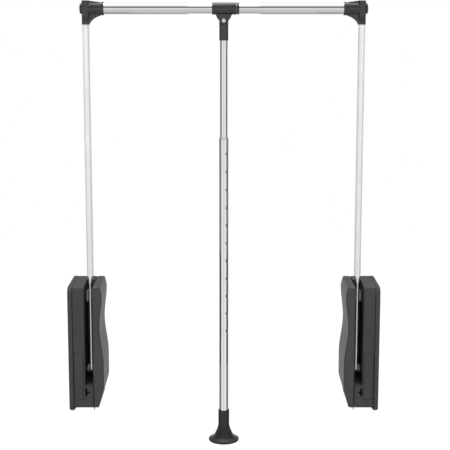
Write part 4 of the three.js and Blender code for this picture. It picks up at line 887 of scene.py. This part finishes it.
def bellGrip(b):
    # A profile turned about the rod. Between collar and flange it swells as share^power and is fluted
    share = np.linspace(0, 1, 26)
    radius = between((b["collar"], b["skirt"]), share ** b["power"])
    drop = b["height"] * between((b["flareFrom"], b["flareTo"]), share)
    flare = np.stack([radius, drop, np.sin(math.pi * share)], -1)
    (bore, boreTo), height = b["rod"], b["height"]
    rim = [(b["flange"] - inward, height - up, rounding) for inward, up, rounding in b["rim"]]
    mouth = [(inner, height * part, rounding) for inner, part, rounding in b["mouth"]]
    throat = mouth[-1][0]
    head = filleted([(bore, boreTo), (bore, 0, 0.5), (b["collar"], 0, 0.9), (b["collar"], b["collarTo"])], 5)
    foot = filleted([(b["skirt"], height * b["flareTo"]), *rim, *mouth, (throat, b["hollowTo"]),
                     (core, b["hollowTo"])], 5)
    plain = [np.concatenate([line, np.zeros((len(line), 1))], 1) for line in (head[:-1], foot[1:])]
    profile = np.concatenate([plain[0], flare, plain[1]])
    t = angles(120)
    wave = b["fluteDepth"] * profile[:, 2:] * (1 - np.cos(b["flutes"] * t)) / 2
    r = profile[:, :1] - wave
    level = b["top"] - profile[:, 1:2]
    rows = inSpace(level, middle + r * np.cos(t), r * np.sin(t), "z")
    start = inSpace(level[:1], middle + core * np.cos(t), core * np.sin(t), "z")
    return skin(np.concatenate([start, rows]))


addPiece("bell_grip", bellGrip(bell), "grip")
print("pull rod made")


# Stage, light and camera

camera = {"place": (331, -2370, 740), "pitch": 8.763, "lens": 89.96, "shiftX": 0.0027, "shiftY": -0.06}
floor = {"height": -1460, "half": 9000, "tone": 0.82, "glow": 0.78}
worldLevel = 0.28
lamps = {  # places in metres, as Blender has them
    "leftLamp": {"place": (-1.25, -1.5, 1.5), "aim": (0.2, 0, 0.3), "size": 1.4, "power": 24.0},
    "rightLamp": {"place": (1.91, -1.5, 1.5), "aim": (0.46, 0, 0.3), "size": 1.4, "power": 24.0},
    "frontLamp": {"place": (0.33, -3.2, 1.9), "aim": (0.33, 0, 0.3), "size": 1.8, "power": 27.0},
    "topLamp": {"place": (0.33, 0.5, 2.5), "aim": (0.33, 0, 0.4), "size": 1.5, "power": 22.0,
                "mirrored": True},
}
# What shiny surfaces see. Below the horizon "low" and, further down, "down" give grey levels by heading,
# from -1 behind the lift to 1 on the camera's side. Above it "behind" and "ahead" give them by height
studio = {
    "low": ((-1.0, 1.0), (-0.9, 1.0), (-0.8, 0.22), (0.3, 0.22), (0.42, 0.35), (0.5, 1.0), (0.965, 1.0),
            (0.985, 0.72)),
    "down": ((-1.0, 0.42), (-0.2, 0.42), (0.5, 0.6), (1.0, 0.6)), "lowToDown": (-0.42, -0.56),
    "behind": ((0.0, 0.6), (0.05, 0.85), (0.12, 0.4), (0.6, 0.4), (0.8, 1.0)),
    "ahead": ((0.0, 1.0), (0.13, 1.0), (0.2, 0.22), (0.66, 0.22), (0.76, 1.0)), "behindToAhead": (0.2, 0.6),
    "horizon": (-0.02, 0.06),
}


def makeCamera(c):
    data = bpy.data.cameras.new("camera")
    data.lens, data.sensor_width = c["lens"], 36
    data.shift_x, data.shift_y = c["shiftX"], c["shiftY"]
    data.clip_end = 60
    data.dof.use_dof = False
    holder = placed("camera", data)
    holder.location = [v * mm for v in c["place"]]
    holder.rotation_euler = (math.radians(90 - c["pitch"]), 0, 0)
    bpy.context.scene.camera = holder


def makeLamp(name, lamp):
    data = bpy.data.lights.new(name, "AREA")
    data.size, data.energy = lamp["size"], lamp["power"]
    holder = placed(name, data)
    away = np.subtract(lamp["aim"], lamp["place"])
    lean, heading = math.acos(-away[2] / np.linalg.norm(away)), math.atan2(away[1], away[0])
    holder.location = lamp["place"]
    holder.rotation_euler = (lean, 0, heading - math.pi / 2)
    holder.visible_glossy = lamp.get("mirrored", False)


def seenDirectly(tree):
    # 1 for rays of the camera, of reflections and of transmission
    path = addNode(tree, "LightPath").outputs
    total = path["Is Camera Ray"]
    for other in ("Is Glossy Ray", "Is Transmission Ray"):
        total = outputOf(tree, "Math", 0, {0: total, 1: path[other]}, operation="ADD", use_clamp=True)
    return total


def greyRamp(tree, source, stops):
    # A number from -1 to 1 read off a ramp of grey levels
    share = outputOf(tree, "MapRange", "Result", {"Value": source, "From Min": -1.0})
    return rampOf(tree, share, [((place + 1) / 2, (grey, grey, grey, 1)) for place, grey in stops])


def blended(tree, source, limits, first, second):
    # From the first colour to the second as the source number goes from one limit to the other
    start, end = limits
    share = outputOf(tree, "MapRange", "Result", {"Value": source, "From Min": start, "From Max": end},
                     interpolation_type="SMOOTHSTEP")
    return outputOf(tree, "Mix", "Result", {"Factor": share, "A": first, "B": second}, data_type="RGBA")


def mixedShader(tree, share, first, second):
    return outputOf(tree, "MixShader", 0, {0: share, 1: first, 2: second})


def background(tree, colour, strength):
    return outputOf(tree, "Background", 0, {"Color": colour, "Strength": strength})


def makeWorld(level):
    # White for the camera, the studio for reflections, and a level of even light for all else
    world = bpy.data.worlds.new("studio")
    bpy.context.scene.world = world
    world.use_nodes = True
    tree = world.node_tree
    tree.nodes.clear()
    white = (1, 1, 1, 1)
    way = outputOf(tree, "TexCoord", "Generated")
    height = outputOf(tree, "SeparateXYZ", "Z", {0: way})
    flat = outputOf(tree, "VectorMath", 0, {0: way, 1: (1, -1, 0)}, operation="MULTIPLY")
    unit = outputOf(tree, "VectorMath", 0, {0: flat}, operation="NORMALIZE")
    ahead = outputOf(tree, "SeparateXYZ", "Y", {0: unit})
    below = blended(tree, height, studio["lowToDown"], greyRamp(tree, ahead, studio["low"]),
                    greyRamp(tree, ahead, studio["down"]))
    above = blended(tree, ahead, studio["behindToAhead"], greyRamp(tree, height, studio["behind"]),
                    greyRamp(tree, height, studio["ahead"]))
    mirrored = background(tree, blended(tree, height, studio["horizon"], below, above), 1.0)
    glossy = outputOf(tree, "LightPath", "Is Glossy Ray")
    seen = mixedShader(tree, glossy, background(tree, white, 1.0), mirrored)
    whole = mixedShader(tree, seenDirectly(tree), background(tree, white, level), seen)
    addNode(tree, "OutputWorld", {"Surface": whole})


def makeFloor(f):
    # A pale floor that glows evenly where it is seen and casts no glow on the pieces
    half, x, z = f["half"] * mm, middle * mm, f["height"] * mm
    points = [(x - half, -half, z), (x + half, -half, z), (x + half, half, z), (x - half, half, z)]
    mesh = bpy.data.meshes.new("floor")
    mesh.from_pydata(points, [], [[0, 1, 2, 3]])
    material = bpy.data.materials.new("paleFloor")
    material.use_nodes = True
    tree = material.node_tree
    tree.nodes.clear()
    surface = outputOf(tree, "BsdfDiffuse", 0, {"Color": [f["tone"]] * 3 + [1]})
    glow = outputOf(tree, "Emission", 0, {"Color": [f["glow"]] * 3 + [1], "Strength": 1.0})
    dark = outputOf(tree, "Emission", 0, {"Strength": 0.0})
    seen = mixedShader(tree, seenDirectly(tree), dark, glow)
    addNode(tree, "OutputMaterial", {"Surface": outputOf(tree, "AddShader", 0, {0: surface, 1: seen})})
    mesh.materials.append(material)
    holder = placed("floor", mesh)
    holder.visible_glossy = False


keptNodes = {
    "bearing": ["left_crosshead", "right_crosshead", "left_rail_plug", "right_rail_plug", "rod_plug"],
    "housing": ["left_spring_seat", "right_spring_seat"],
    "spring": ["left_shaft_clip", "right_shaft_clip"],
    "plate": ["left_crank", "right_crank"],
    "zinc": ["catch_button"],
}
for finish, names in keptNodes.items():
    for name in names:
        for place in frame["nodes"][name].material_slots:
            place.link = "OBJECT"
            place.material = finishes[finish]

makeFloor(floor)
makeWorld(worldLevel)
for name, lamp in lamps.items():
    makeLamp(name, lamp)
makeCamera(camera)
bpy.context.scene.view_settings.view_transform = "Standard"
print("stage, light and camera made")
